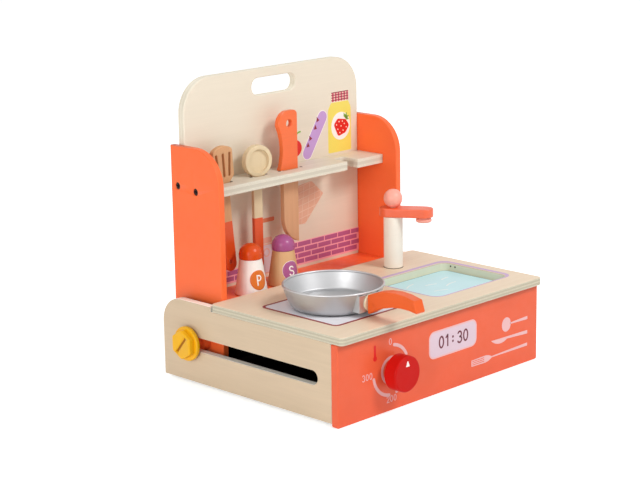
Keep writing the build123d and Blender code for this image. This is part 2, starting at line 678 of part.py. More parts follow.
def clamp_knob_left():
    """Yellow knob: a boss, a thin flange, a six-sided head and a grip groove across its face."""
    inner = -(SIDE_OUT + TURN_GAP)
    seat = -KNOB_SEAT
    neck = seat - KNOB_FLANGE
    flange = rod((seat, PIVOT_Y, PIVOT_Z), (neck, PIVOT_Y, PIVOT_Z), KNOB_FLANGE_D)
    flange = fillet(flange.edges().sort_by(Axis.X)[0], KNOB_FLANGE * 0.4)
    flange += rod((inner, PIVOT_Y, PIVOT_Z), (seat, PIVOT_Y, PIVOT_Z), KNOB_BOSS_D)
    hexagon = RegularPolygon(KNOB_HEX / 2, 6, major_radius=False, rotation=30)
    hexagon = fillet(hexagon.vertices(), KNOB_HEX_R)
    head = slab_yz(Pos(PIVOT_Y, PIVOT_Z) * hexagon, -KNOB_FACE, neck)
    head = fillet(head.faces().sort_by(Axis.X)[0].edges(), KNOB_EDGE_R)
    groove = Pos(PIVOT_Y, PIVOT_Z) * Rot(0, 0, -GROOVE_ANGLE) * SlotOverall(GROOVE_LENGTH, GROOVE_WIDTH)
    knob = flange + head - slab_yz(groove, -KNOB_FACE, -KNOB_FACE + GROOVE_DEPTH)
    bore_end = seat - BOLT_IN_KNOB
    knob -= rod((inner, PIVOT_Y, PIVOT_Z), (bore_end, PIVOT_Y, PIVOT_Z), BOLT_D + 2 * BORE_PLAY)
    return knob - rod((seat, PIVOT_Y, PIVOT_Z), (seat - INSERT_LENGTH, PIVOT_Y, PIVOT_Z), INSERT_D)


def clamp_knob_right():
    return mirrored(clamp_knob_left())


# ------------------------------------------------------------------------------- pan
def pan_cup(grow):
    """Solid cup of the pan's outer shape, larger all round by grow."""
    cup = Pos(0, 0, PAN_HEIGHT / 2) * Cone(PAN_FOOT_R + grow, PAN_RIM_R + grow, PAN_HEIGHT)
    if grow >= 0:
        return fillet(cup.edges().sort_by(Axis.Z)[0], PAN_FOOT_FILLET + grow)
    cup = Pos(0, 0, -grow) * cup
    return fillet(cup.edges().sort_by(Axis.Z)[0], PAN_FOOT_FILLET + grow)


def at_pan(part):
    """From the pan's own frame (axis at 0, handle along +X) to its place on the hob."""
    return Pos(PAN_X, PAN_Y, PAN_Z) * Rot(0, 0, PAN_AZIMUTH) * part


def pan_hollow():
    """The space inside the pan, above its pressed-up floor."""
    floor_r = PAN_FOOT_R - PAN_WALL + (PAN_RIM_R - PAN_FOOT_R) * PAN_FLOOR / PAN_HEIGHT
    hollow = Pos(0, 0, (PAN_FLOOR + PAN_HEIGHT) / 2) * Cone(floor_r, PAN_RIM_R - PAN_WALL, PAN_HEIGHT - PAN_FLOOR)
    return fillet(hollow.edges().sort_by(Axis.Z)[0], PAN_FLOOR_FILLET)


def pan_under():
    """The space under the pressed-up floor, open in the middle of the foot."""
    top = PAN_FLOOR - PAN_WALL
    space = pan_cup(-PAN_WALL) & Cylinder(PAN_RIM_R, 2 * top)
    return space + rod((0, 0, -PAN_WALL), (0, 0, 2 * PAN_WALL), 2 * PAN_UNDER_R)


def pan_body():
    """Pressed steel pan with a rolled rim and a floor pressed up above its foot."""
    bowl = pan_cup(0) - pan_hollow() - pan_under()
    bowl += Pos(0, 0, PAN_HEIGHT - PAN_BEAD_R) * Torus(PAN_RIM_R - PAN_WALL / 2, PAN_BEAD_R)
    return at_pan(bowl)


def pan_tang():
    """Flat tang welded to the bracket's front plate."""
    middle = BRACKET_Z + BRACKET_HEIGHT / 2
    return block(BRACKET_FRONT - BRACKET_THICK / 2, GRIP_START + TANG_IN_HANDLE,
                 -TANG_THICK / 2, TANG_THICK / 2, middle - TANG_HEIGHT / 2, middle + TANG_HEIGHT / 2)


def grip_pin():
    x = GRIP_START + GRIP_PIN_FROM_ROOT
    z = BRACKET_Z + BRACKET_HEIGHT / 2
    return rod((x, -GRIP_THICK / 2, z), (x, GRIP_THICK / 2, z), GRIP_PIN_D)


def pan_bracket():
    """Folded steel bracket: two cheeks welded to the pan's wall and a flat front plate with a tang."""
    half = BRACKET_WIDTH / 2
    low, high = BRACKET_Z, BRACKET_Z + BRACKET_HEIGHT
    bracket = block(PAN_FOOT_R / 2, BRACKET_FRONT, -half, half, low, high)
    inner = half - BRACKET_THICK
    bracket -= block(0, BRACKET_FRONT - BRACKET_THICK, -inner, inner, low, high)
    return at_pan(bracket + pan_tang() - pan_cup(0) - grip_pin())


def pan_ferrule():
    """Round washer on the tang, between the bracket's front plate and the grip."""
    middle = BRACKET_Z + BRACKET_HEIGHT / 2
    return at_pan(rod((BRACKET_FRONT, 0, middle), (GRIP_START, 0, middle), FERRULE_D) - pan_tang())


def pan_grip():
    """Arched wooden grip, deep at the pan and slimmer at its raised end."""
    root, tip = GRIP_START, GRIP_START + GRIP_LENGTH
    top_tip = tip - GRIP_SLOPE
    middle = (root + tip) / 2
    edges = [
        Line((root, GRIP_ROOT_LOW), (root, GRIP_ROOT_HIGH)),
        ThreePointArc((root, GRIP_ROOT_HIGH), (middle, GRIP_MID_HIGH), (top_tip, GRIP_TIP_HIGH)),
        Line((top_tip, GRIP_TIP_HIGH), (tip, GRIP_TIP_LOW)),
        ThreePointArc((tip, GRIP_TIP_LOW), (middle, GRIP_MID_LOW), (root, GRIP_ROOT_LOW)),
    ]
    grip = slab_xz(make_face(edges), -GRIP_THICK / 2, GRIP_THICK / 2)
    grip = fillet(grip.edges().filter_by(Axis.Y), GRIP_EDGE_R)
    return at_pan(grip - pan_tang() - grip_pin())


def pan_grip_pin():
    return at_pan(grip_pin())


# -------------------------------------------------------------------------- utensils
def utensil_board(outline):
    """A flat utensil drawn in (X, Z) with the shelf's top at 0, centred on the slots."""
    return slab_xz(outline, UTENSIL_Y - UTENSIL_THICK / 2, UTENSIL_Y + UTENSIL_THICK / 2)


def hang_hole(z):
    return Pos(0, z) * Circle(HANG_HOLE_D / 2)


def spatula():
    """Slotted spatula; it hangs in the shelf by its shoulders and leans to the left."""
    right = [
        (SPATULA_TOP_HALF, SPATULA_TOP * 0.88),
        (SPATULA_CHEEK_HALF, SPATULA_CHEEK),
        (SPATULA_NECK_HALF, SPATULA_NECK),
        (SPATULA_NECK_HALF, SPATULA_GRIP),
        (SPATULA_END_HALF, SPATULA_END + SPATULA_END_HALF),
    ]
    left = [(-u, w) for u, w in reversed(right)]
    edges = [Line(a, b) for side in (right, left) for a, b in zip(side, side[1:])]
    edges.append(ThreePointArc(right[-1], (0, SPATULA_END), left[0]))
    edges.append(ThreePointArc(left[-1], (0, SPATULA_TOP), right[0]))
    outline = make_face(edges)
    rows = outline.vertices().group_by(Axis.Y)
    outline = fillet(rows[-1] + rows[-2] + rows[-3], SPATULA_NECK_HALF * 0.8)
    for place in (-1, 0, 1):
        slit = Pos(place * SLIT_PITCH, SPATULA_CHEEK + SLIT_LENGTH / 2) * Rot(0, 0, 90 - place * SLIT_FAN)
        outline -= slit * SlotOverall(SLIT_LENGTH, SLIT_WIDTH)
    outline -= hang_hole(SPATULA_END + 2 * SPATULA_END_HALF * 0.7)
    blade = utensil_board(outline)
    return Pos(SPATULA_X, 0, SHELF_TOP + SPATULA_SEAT) * Rot(0, -SPATULA_LEAN, 0) * blade


def spoon():
    """Spoon: a round dished bowl that stands on the shelf and a flat stick through it."""
    bowl_z = sqrt(SPOON_BOWL_R ** 2 - (SPOON_SLOT / 2) ** 2)
    rear = SPOON_BOWL_THICK / 2
    stick = Pos(0, (SPOON_END + bowl_z) / 2) * Rectangle(SPOON_STICK, bowl_z - SPOON_END)
    stick = fillet(stick.vertices().group_by(Axis.Y)[0], SPOON_STICK * 0.45)
    stick -= hang_hole(SPOON_END + SPOON_STICK * 0.7)
    bowl = slab_xz(Pos(0, bowl_z) * Circle(SPOON_BOWL_R), -rear, rear)
    bowl = fillet(bowl.edges().filter_by(GeomType.CIRCLE), BOARD_EDGE_R)
    dish = rod((0, -rear, bowl_z), (0, SPOON_DISH - rear, bowl_z), 2 * SPOON_DISH_R)
    dish = fillet(dish.edges().sort_by(Axis.Y)[-1], SPOON_DISH * SPOON_DISH_CORNER)
    upright = bowl - dish + slab_xz(stick, rear - SPOON_STICK_THICK, rear)
    return Pos(SPOON_X, UTENSIL_Y, SHELF_TOP + SPOON_SEAT) * Rot(0, 0, -SPOON_TURN) * upright


def knife():
    """Knife: a grip with a finger waist above the shelf and a blade below it."""
    curve_mid = (-KNIFE_EDGE * 0.45, BLADE_CURVE + (BLADE_END - BLADE_CURVE) * 0.66)
    edges = [
        Line((KNIFE_BACK, BLADE_END), (KNIFE_BACK, KNIFE_TOP)),
        Line((KNIFE_BACK, KNIFE_TOP), (-KNIFE_BULGE, KNIFE_TOP)),
        Line((-KNIFE_BULGE, KNIFE_TOP), (-KNIFE_BULGE, KNIFE_BULGE_Z)),
        ThreePointArc((-KNIFE_BULGE, KNIFE_BULGE_Z), (-KNIFE_WAIST, KNIFE_WAIST_Z), (-KNIFE_HEEL, 0)),
        Line((-KNIFE_HEEL, 0), (-KNIFE_EDGE, 0)),
        Line((-KNIFE_EDGE, 0), (-KNIFE_EDGE, BLADE_CURVE)),
        ThreePointArc((-KNIFE_EDGE, BLADE_CURVE), curve_mid, (KNIFE_BACK, BLADE_END)),
    ]
    outline = make_face(edges)
    top_left, top_right = outline.vertices().group_by(Axis.Y)[-1].sort_by(Axis.X)
    outline = fillet(top_left, (KNIFE_TOP - KNIFE_BULGE_Z) * 0.95)
    outline = fillet(outline.vertices().sort_by(lambda v: v.X + v.Y)[-1], KNIFE_BACK_R)
    outline -= Pos(KNIFE_HOLE_X, KNIFE_HOLE_Z) * Circle(KNIFE_HOLE_D / 2)
    return Pos(KNIFE_X, 0, SHELF_TOP + SEAT_GAP) * utensil_board(outline)


# --------------------------------------------------------------------------- shakers
def shaker_body():
    body = Pos(0, 0, SHAKER_BODY / 2) * Cone(SHAKER_FOOT_R, SHAKER_NECK_R, SHAKER_BODY)
    return fillet(body.edges().sort_by(Axis.Z)[0], BOARD_EDGE_R)


def shaker_cap():
    """Domed cap with a short upright skirt, glued to the body."""
    rise = CAP_HEIGHT - CAP_SKIRT
    inset = CAP_R - CAP_SHOULDER_R
    crown_r = (inset ** 2 + rise ** 2 - CAP_SHOULDER_R ** 2) / (2 * (rise - CAP_SHOULDER_R))
    crown = Vector(0, CAP_HEIGHT - crown_r)
    shoulder = Vector(inset, CAP_SKIRT)
    meet = crown + (shoulder - crown).normalized() * crown_r
    edges = [
        Line((0, 0), (CAP_R, 0)),
        Line((CAP_R, 0), (CAP_R, CAP_SKIRT)),
        TangentArc((CAP_R, CAP_SKIRT), meet, tangent=(0, 1)),
        TangentArc((0, CAP_HEIGHT), meet, tangent=(1, 0)),
        Line((0, CAP_HEIGHT), (0, 0)),
    ]
    cap = revolve(Plane.XZ * make_face(edges), Axis.Z, 360)
    return Pos(0, 0, SHAKER_BODY) * fillet(cap.edges().sort_by(Axis.Z)[0], CAP_EDGE_R)


def at_pepper(part):
    return Pos(-HUTCH_IN + PEPPER_FROM_LEFT, HUTCH_FRONT + PEPPER_SETBACK, BAY_FLOOR_TOP + SEAT_GAP) * part


def at_salt(part):
    return Pos(-HUTCH_IN + SALT_FROM_LEFT, HUTCH_FRONT + SALT_SETBACK, BAY_FLOOR_TOP + SEAT_GAP) * part


def pepper_body():
    return at_pepper(shaker_body())


def pepper_cap():
    return at_pepper(shaker_cap())


def salt_body():
    return at_salt(shaker_body())


def salt_cap():
    return at_salt(shaker_cap())


# ---------------------------------------------------------------------------- output
PIECES = [
    base_side_left, base_side_right, front_panel, worktop, sink_board, base_floor,
    floor_batten_left, floor_batten_right, worktop_dowels, front_dowels, floor_screws,
    tap_post, tap_pin, tap_ball, tap_arm, tap_nozzle,
    dial_spindle, dial_knob, dial_retainer,
    hutch_side_left, hutch_side_right, hutch_back, hutch_floor, hutch_footboard, hutch_shelf,
    hutch_screws_left, hutch_screws_right,
    clamp_bolt_left, clamp_bolt_right, slide_bush_left, slide_bush_right,
    clamp_knob_left, clamp_knob_right, knob_insert_left, knob_insert_right,
    pan_body, pan_bracket, pan_ferrule, pan_grip, pan_grip_pin,
    spatula, spoon, knife,
    pepper_body, pepper_cap, salt_body, salt_cap,
]

os.makedirs("parts", exist_ok=True)
for piece in PIECES:
    export_step(piece(), f"parts/{piece.__name__}.step")
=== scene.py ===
"""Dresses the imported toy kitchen: each visible board, knob and utensil with its finish, then the studio."""

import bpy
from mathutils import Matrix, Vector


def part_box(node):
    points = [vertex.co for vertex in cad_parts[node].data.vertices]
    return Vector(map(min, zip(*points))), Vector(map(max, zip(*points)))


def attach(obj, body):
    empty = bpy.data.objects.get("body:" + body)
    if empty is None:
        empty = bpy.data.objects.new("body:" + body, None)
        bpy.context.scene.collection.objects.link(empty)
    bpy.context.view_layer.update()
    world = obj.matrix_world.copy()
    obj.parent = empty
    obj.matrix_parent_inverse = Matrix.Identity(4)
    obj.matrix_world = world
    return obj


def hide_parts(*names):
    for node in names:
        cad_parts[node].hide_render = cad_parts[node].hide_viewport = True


bl_info = {
    "name": "Wooden Toy Kitchen",
    "version": (1, 0, 0),
    "blender": (4, 5, 0),
    "location": "3D View > Sidebar > Toy Kitchen",
    "description": "Builds the pieces, prints and finishes of a fold-away wooden toy kitchen",
    "category": "Object",
}

import math

import bmesh
import bpy
import numpy as np
from mathutils import Matrix, Vector, geometry

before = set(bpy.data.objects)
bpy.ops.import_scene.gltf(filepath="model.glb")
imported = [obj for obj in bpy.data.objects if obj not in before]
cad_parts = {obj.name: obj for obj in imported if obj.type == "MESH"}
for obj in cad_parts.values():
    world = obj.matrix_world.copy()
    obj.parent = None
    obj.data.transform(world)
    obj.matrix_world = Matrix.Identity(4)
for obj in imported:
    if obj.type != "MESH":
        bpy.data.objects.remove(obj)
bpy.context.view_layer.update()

MM = 0.001
SIDES = ("left", "right")
PRINT_LIFT = 0.12       # thickness of an ink film, in mm, drawn thicker than real so that it shows
FOOT_SHADE_RISE = 1.9            # height above the pan's foot up to which its steel is painted dark as contact shade, in mm
EDGE_STEPS = 4          # facets across a softened edge
ARC_STEP = math.radians(7.5)


# ------------------------------------------------------------------- colour and sizes
def linear(hex_colour):
    """sRGB hex to linear RGB: a channel c becomes ((c + 0.055) / 1.055) ** 2.4, or c / 12.92 when dark."""
    channels = [int(hex_colour[i : i + 2], 16) / 255 for i in (0, 2, 4)]
    return [c / 12.92 if c <= 0.04045 else ((c + 0.055) / 1.055) ** 2.4 for c in channels]


def rgba(hex_colour):
    """sRGB hex to linear RGBA."""
    return (*linear(hex_colour), 1.0)


def colour(name, hex_colour, description):
    """A colour property whose default is the given sRGB hex."""
    channels = {"default": linear(hex_colour), "subtype": "COLOR", "size": 3, "min": 0, "max": 1}
    return bpy.props.FloatVectorProperty(name=name, description=description, **channels)


def length(name, millimetres, description):
    """A length property, stored in metres."""
    metric = {"default": millimetres * MM, "min": 0, "subtype": "DISTANCE", "unit": "LENGTH"}
    return bpy.props.FloatProperty(name=name, description=description, **metric)


class KitchenColours(bpy.types.PropertyGroup):
    side_face: colour("Side panels", "d2bb9d", "Lacquered birch face of the base's side panels")
    worktop_face: colour("Worktop", "ebd5b9", "Lacquered birch face of the worktop")
    back_face: colour("Back panel", "e5d9c5", "Whitewashed birch face of the back panel")
    shelf_face: colour("Shelf", "e3dac8", "Pale face of the shelf")
    ply_edge_light: colour("Ply edge, light", "cfc8b1", "Light layers in a sawn plywood edge")
    ply_edge_dark: colour("Ply edge, dark", "bab199", "Dark layers in a sawn plywood edge")
    # painted shade: the faces inside the base are coloured near black for the little light that reaches them
    inside_stain: colour("Inside of the base", "1a1411", "Dark stain on the faces inside the base")
    front_paint: colour("Front panel", "e6603a", "Satin orange paint of the front panel")
    hutch_paint: colour("Hutch", "ff6d35", "Satin orange paint of the hutch")
    dial_paint: colour("Dial", "c6140e", "Gloss red paint of the dial")
    knob_plastic: colour("Clamp knobs", "f0b412", "Moulded yellow plastic")
    print_pale: colour("Pale print", "e9b9b8", "Ink of the scale and the cutlery")
    print_lilac: colour("Lilac print", "dcc6d2", "Ink of the display")
    print_maroon: colour("Maroon print", "661a30", "Ink of the display's figures")
    water: colour("Water print", "c9f0f6", "Ink of the sink's water")
    tap_orange: colour("Tap arm", "f0602f", "Satin paint of the tap's arm")
    tap_cream: colour("Tap post", "f8efe1", "Satin paint of the tap's post")
    tap_pink: colour("Tap ball", "fbaa98", "Satin paint of the tap's ball and nozzle")
    grip_paint: colour("Pan grip", "e85e1c", "Satin paint of the pan's grip")
    dip_paint: colour("Dipped handles", "e2541f", "Paint that the utensils' handles are dipped in")
    shaker_purple: colour("Purple paint", "aa588c", "Gloss paint of the salt's cap")
    shaker_orange: colour("Orange paint", "de5014", "Gloss paint of the pepper's cap")


class KitchenSizes(bpy.types.PropertyGroup):
    board_edge: length("Board edge", 0.9, "Radius of the boards' sanded edges")
    worktop_corner: length("Worktop corner", 5.0, "Corner radius of the worktop")
    sink_corner: length("Sink corner", 10.0, "Corner radius of the sink's cut-out")
    side_corner: length("Side corner", 26.0, "Rear top corner of the base's side panels")
    side_sweep: length("Hutch sweep", 36.0, "Front top corner of the hutch's side panels")
    back_corner: length("Back corner", 35.0, "Top corners of the back panel")
    slot_height: length("Slot height", 14.0, "Height of the slots that the bolts run in")
    turned_edge: length("Turned edge", 0.8, "Softened edge of turned wooden pieces")


def tint(name):
    """A colour property of the scene as RGBA."""
    return (*getattr(bpy.context.scene.kitchen_colours, name), 1.0)


def size(name):
    """A length property of the scene, in millimetres."""
    return getattr(bpy.context.scene.kitchen_sizes, name) / MM


def span(node):
    """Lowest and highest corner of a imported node, in millimetres."""
    low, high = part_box(node)
    return np.array(low) / MM, np.array(high) / MM


def middle(node):
    """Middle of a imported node, in millimetres."""
    low, high = span(node)
    return (low + high) / 2


# ----------------------------------------------------------------------- plane curves
def arc(centre, radii, start, end):
    """Points on an ellipse: centre plus the radii times the cosine and sine of even steps in degrees."""
    radii = np.broadcast_to(np.asarray(radii, float), 2)
    count = max(3, int(abs(math.radians(end - start)) / ARC_STEP) + 1)
    angle = np.radians(np.linspace(start, end, count))
    return np.asarray(centre, float) + np.stack([radii[0] * np.cos(angle), radii[1] * np.sin(angle)], 1)


def rounded(points, radii):
    """Polygon whose corners are cut back by r / tan(half the angle) and joined by arcs of radius r."""
    points = np.asarray(points, float)
    radii = np.broadcast_to(np.asarray(radii, float), len(points))
    run = []
    for before, corner, after, radius in zip(np.roll(points, 1, 0), points, np.roll(points, -1, 0), radii):
        into = (before - corner) / np.linalg.norm(before - corner)
        out = (after - corner) / np.linalg.norm(after - corner)
        half = math.acos(max(-1.0, min(1.0, float(into @ out)))) / 2
        if radius < 1e-6 or half > math.pi / 2 - 1e-3:
            run.append(corner[None])
            continue
        centre = corner + (into + out) / np.linalg.norm(into + out) * radius / math.sin(half)
        first = corner + into * radius / math.tan(half) - centre
        last = corner + out * radius / math.tan(half) - centre
        turn = math.atan2(first[0] * last[1] - first[1] * last[0], float(first @ last))
        start = math.degrees(math.atan2(first[1], first[0]))
        run.append(arc(centre, radius, start, start + math.degrees(turn)))
    return np.concatenate(run)


def rectangle(x0, x1, y0, y1, radius):
    """Rounded rectangle."""
    return rounded([(x0, y0), (x1, y0), (x1, y1), (x0, y1)], radius)


def plan(node, radius, inset=0.0):
    """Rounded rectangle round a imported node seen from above, drawn in by the inset."""
    low, high = span(node)
    return rectangle(low[0] + inset, high[0] - inset, low[1] + inset, high[1] - inset, radius)


def framed(x0, x1, y0, y1, border, radius, inner_radius):
    """Rounded rectangle and the one that lies a border inside it."""
    inner = rectangle(x0 + border, x1 - border, y0 + border, y1 - border, inner_radius)
    return rectangle(x0, x1, y0, y1, radius), inner


def circle(x, y, radius):
    """Closed circle, or ellipse where two radii are given, without its repeated last point."""
    return arc((x, y), radius, 0, 360)[:-1]


def stadium(start, end, level, radius):
    """Slot outline: half circles about two points on a level line, joined by straight sides."""
    return np.concatenate([arc((end, level), radius, -90, 90), arc((start, level), radius, 90, 270)])


def through(first, between, last):
    """Arc through three points, found from the circle's centre, where the chords' bisectors meet."""
    a, b, c = (np.array(p, float) for p in (first, between, last))
    system = 2 * np.array([b - a, c - a])
    centre = np.linalg.solve(system, np.array([b @ b - a @ a, c @ c - a @ a]))
    angles = np.unwrap([math.atan2(*(p - centre)[::-1]) for p in (a, b, c)])
    return arc(centre, float(np.linalg.norm(a - centre)), math.degrees(angles[0]), math.degrees(angles[2]))


def turned(degrees):
    """Matrix that turns row vectors by an angle."""
    c, s = math.cos(math.radians(degrees)), math.sin(math.radians(degrees))
    return np.array([[c, s], [-s, c]])


def about(points, centre, degrees):
    """Points drawn about the origin, turned and moved."""
    return np.asarray(centre, float) + np.asarray(points, float) @ turned(degrees)


def ribbon(path, width, closed=False):
    """Outline of a pen stroke: the path moved half a width to each side, and round ends."""
    path = np.asarray(path, float)
    if closed:
        step = np.roll(path, -1, 0) - np.roll(path, 1, 0)
    else:
        step = np.gradient(path, axis=0)
    step /= np.linalg.norm(step, axis=1)[:, None]
    side = np.stack([step[:, 1], -step[:, 0]], 1) * (np.broadcast_to(width, len(path)) / 2)[:, None]
    if closed:
        return [path + side, path - side]
    radius = np.linalg.norm(side, axis=1)
    head = math.degrees(math.atan2(side[-1][1], side[-1][0]))
    tail = math.degrees(math.atan2(-side[0][1], -side[0][0]))
    cap = arc(path[-1], radius[-1], head, head + 180)[1:-1]
    foot = arc(path[0], radius[0], tail, tail + 180)[1:-1]
    return [np.concatenate([path + side, cap, (path - side)[::-1], foot])]


def dense(points, pitch):
    """The polyline through the points, resampled at even steps of about one pitch."""
    points = np.asarray(points, float)
    run = np.concatenate([[0], np.cumsum(np.linalg.norm(np.diff(points, axis=0), axis=1))])
    even = np.linspace(0, run[-1], max(3, int(run[-1] / pitch) + 1))
    return np.stack([np.interp(even, run, points[:, 0]), np.interp(even, run, points[:, 1])], 1)


def facing(loop, clockwise):
    """The loop without repeated points, in the wanted sense by the sign of its shoelace area."""
    loop = np.asarray(loop, float)
    loop = loop[np.linalg.norm(loop - np.roll(loop, 1, 0), axis=1) > 1e-6]
    ahead = np.roll(loop, -1, 0)
    area = float(np.sum(loop[:, 0] * ahead[:, 1] - ahead[:, 0] * loop[:, 1]))
    return loop[::-1] if (area < 0) != clockwise else loop


# ---------------------------------------------------------------------- solid surfaces
def flat_xy(u, v, w):
    return np.stack([u, v, w], -1)


def flat_xz(u, v, w):
    return np.stack([u, w, v], -1)


def flat_yz(u, v, w):
    return np.stack([w, u, v], -1)


def toward_front(u, v, w):
    return np.stack([u, -w, v], -1)


def moved(place, origin, azimuth=0.0, lean=0.0):
    """The place map followed by a lean about Y, a turn about Z and a shift, angles in degrees."""
    turn = Matrix.Rotation(math.radians(azimuth), 3, "Z") @ Matrix.Rotation(math.radians(lean), 3, "Y")
    turn = np.array(turn)
    return lambda u, v, w: place(u, v, w) @ turn.T + np.asarray(origin, float)


def on_top(level):
    """Place map of a drawing that lies face up."""
    return moved(flat_xy, (0, 0, level))


def on_front(face):
    """Place map of a drawing on a face that looks toward the front."""
    return moved(toward_front, (0, face, 0))


def outward(sign, origin=(0, 0, 0)):
    """Place map of a piece on the left (-1) or right (1) whose w runs away from the toy's middle."""
    return moved(lambda u, v, w: flat_yz(u, v, sign * w), origin)


def upright(node, level=0.0):
    """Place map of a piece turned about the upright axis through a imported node's middle."""
    at = middle(node)
    return moved(flat_xy, (at[0], at[1], level))


def ring_faces(rows, columns, first=0):
    """Quads of a grid that is closed along its columns: each cell joins row i to row i + 1."""
    i, j = np.meshgrid(np.arange(rows - 1), np.arange(columns), indexing="ij")
    row, ahead = i * columns, (j + 1) % columns
    quads = np.stack([row + j, row + ahead, row + columns + ahead, row + columns + j], -1)
    return (quads.reshape(-1, 4) + first).tolist()


def inside(spots, loops):
    """Even-odd rule: a spot is inside when a ray from it crosses the edges an odd number of times."""
    crossings = np.zeros(len(spots), int)
    x, y = spots[:, :1], spots[:, 1:]
    for loop in loops:
        start, end = loop, np.roll(loop, -1, 0)
        rise = end[:, 1] - start[:, 1]
        spans = (start[:, 1] > y) != (end[:, 1] > y)
        run = (y - start[:, 1]) / np.where(rise == 0, 1, rise) * (end[:, 0] - start[:, 0]) + start[:, 0]
        crossings += np.sum(spans & (x < run), axis=1)
    return crossings % 2 == 1


def filled(loops, starts):
    """Triangles of the flat region between closed loops, numbered from each loop's first vertex."""
    numbers = np.concatenate([start + np.arange(len(loop)) for loop, start in zip(loops, starts)])
    points, edges = [], []
    for loop in loops:
        first = len(points)
        points += [Vector(p) for p in loop]
        edges += [(first + k, first + (k + 1) % len(loop)) for k in range(len(loop))]
    made_points, _, faces, sources, _, _ = geometry.delaunay_2d_cdt(points, edges, [], 0, 1e-7)
    if len(made_points) != len(points):
        raise RuntimeError("an outline crosses itself or repeats a point")
    order = np.array([source[0] for source in sources])
    faces = order[np.array(faces)]
    middles = np.concatenate(loops)[faces].mean(axis=1)
    return numbers[faces[inside(middles, loops)]].tolist()


def slab(loops, low, high, edge, place, pockets=()):
    """Board: each outline follows a profile that stands in by r(1 - sin a) where it has risen r(1 - cos a).

    The normals are mitred, so the inset outlines stay parallel. The two flat faces are filled between the
    inset outlines. A pocket is an outline and a depth, sunk from the high face with upright walls."""
    loops = [facing(loop, k > 0) for k, loop in enumerate(loops)]
    angle = np.linspace(0, math.pi / 2, EDGE_STEPS + 1) if edge > 0 else np.array([math.pi / 2])
    inset = edge * (1 - np.sin(angle))
    rise = edge * (1 - np.cos(angle)) if edge > 0 else np.zeros(1)
    inset = np.concatenate([inset, inset[::-1]])
    level = np.concatenate([low + rise, high - rise[::-1]])
    points, faces, bottoms, tops, ends = [], [], [], [], []
    count = 0
    for loop in loops:
        step = np.roll(loop, -1, 0) - loop
        step /= np.linalg.norm(step, axis=1)[:, None]
        out = np.stack([step[:, 1], -step[:, 0]], 1)
        back = np.roll(out, 1, 0)
        mitre = (out + back) / (1 + np.sum(out * back, 1))[:, None]
        grid = loop[None] - inset[:, None, None] * mitre[None]
        height = np.broadcast_to(level[:, None], grid.shape[:2])
        points.append(place(grid[..., 0], grid[..., 1], height).reshape(-1, 3))
        faces += ring_faces(len(level), len(loop), count)
        bottoms.append(count)
        tops.append(count + (len(level) - 1) * len(loop))
        ends.append(grid[0])
        count += grid.shape[0] * grid.shape[1]
    faces += filled(ends, bottoms)
    for loop, depth in pockets:
        loop = facing(loop, True)
        pair = np.stack([loop, loop])
        height = np.broadcast_to(np.array([high, high - depth])[:, None], pair.shape[:2])
        points.append(place(pair[..., 0], pair[..., 1], height).reshape(-1, 3))
        faces += ring_faces(2, len(loop), count)
        faces += filled([loop], [count + len(loop)])
        ends.append(loop)
        tops.append(count)
        count += 2 * len(loop)
    faces += filled(ends, tops)
    return np.concatenate(points), faces


def lathe(profile, place, segments=96):
    """Turned piece: at angle t the half outline's radius r and height h give r cos t, r sin t and h."""
    profile = np.asarray(profile, float)
    angle = np.linspace(0, 2 * math.pi, segments, endpoint=False)
    radius = np.broadcast_to(profile[:, 0][:, None], (len(profile), segments))
    height = np.broadcast_to(profile[:, 1][:, None], radius.shape)
    points = place(radius * np.cos(angle), radius * np.sin(angle), height).reshape(-1, 3)
    return points, ring_faces(len(profile), segments)


def soft_cylinder(radius, low, high, edge_low, edge_high):
    """Half outline of a disc or post whose two rims are quarter circles."""
    return np.concatenate(
        [
            [(0, low)],
            arc((radius - edge_low, low + edge_low), edge_low, -90, 0),
            arc((radius - edge_high, high - edge_high), edge_high, 0, 90),
            [(0, high)],
        ]
    )


def piece(name, shapes, material, body, stands_for=(), smooth=True):
    """Makes one object of one or more closed surfaces given in millimetres, and puts it on its body."""
    points, faces, marks, count = [], [], [], 0
    materials = material if isinstance(material, list) else [material]
    for number, (surface, corners) in enumerate(shapes):
        points.append(surface)
        faces += [[k + count for k in face] for face in corners]
        marks += [min(number, len(materials) - 1)] * len(corners)
        count += len(surface)
    mesh = bpy.data.meshes.new(name)
    mesh.from_pydata((np.concatenate(points) * MM).tolist(), [], faces)
    mesh.polygons.foreach_set("material_index", marks)
    work = bmesh.new()
    work.from_mesh(mesh)
    bmesh.ops.remove_doubles(work, verts=work.verts, dist=1e-6)
    bmesh.ops.dissolve_degenerate(work, edges=work.edges, dist=1e-7)
    bmesh.ops.recalc_face_normals(work, faces=work.faces)
    work.to_mesh(mesh)
    work.free()
    mesh.polygons.foreach_set("use_smooth", [smooth] * len(mesh.polygons))
    for item in materials:
        mesh.materials.append(item)
    thing = bpy.data.objects.new(name, mesh)
    bpy.context.scene.collection.objects.link(thing)
    if smooth:
        shading = thing.modifiers.new("Even shading", "WEIGHTED_NORMAL")
        shading.weight = 100
    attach(thing, body)
    if stands_for:
        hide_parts(*stands_for)
    return thing


# --------------------------------------------------------------------------- materials
def fill(tree, node, sockets):
    """Fills a node's inputs, by name or number, with values or links."""
    for name, value in sockets.items():
        if isinstance(value, bpy.types.NodeSocket):
            tree.links.new(value, node.inputs[name])
        else:
            node.inputs[name].default_value = value


def add(tree, kind, sockets=(), **settings):
    """Adds a shader node, sets its settings, then fills its inputs."""
    node = tree.nodes.new(kind)
    for name, value in settings.items():
        setattr(node, name, value)
    fill(tree, node, dict(sockets))
    return node


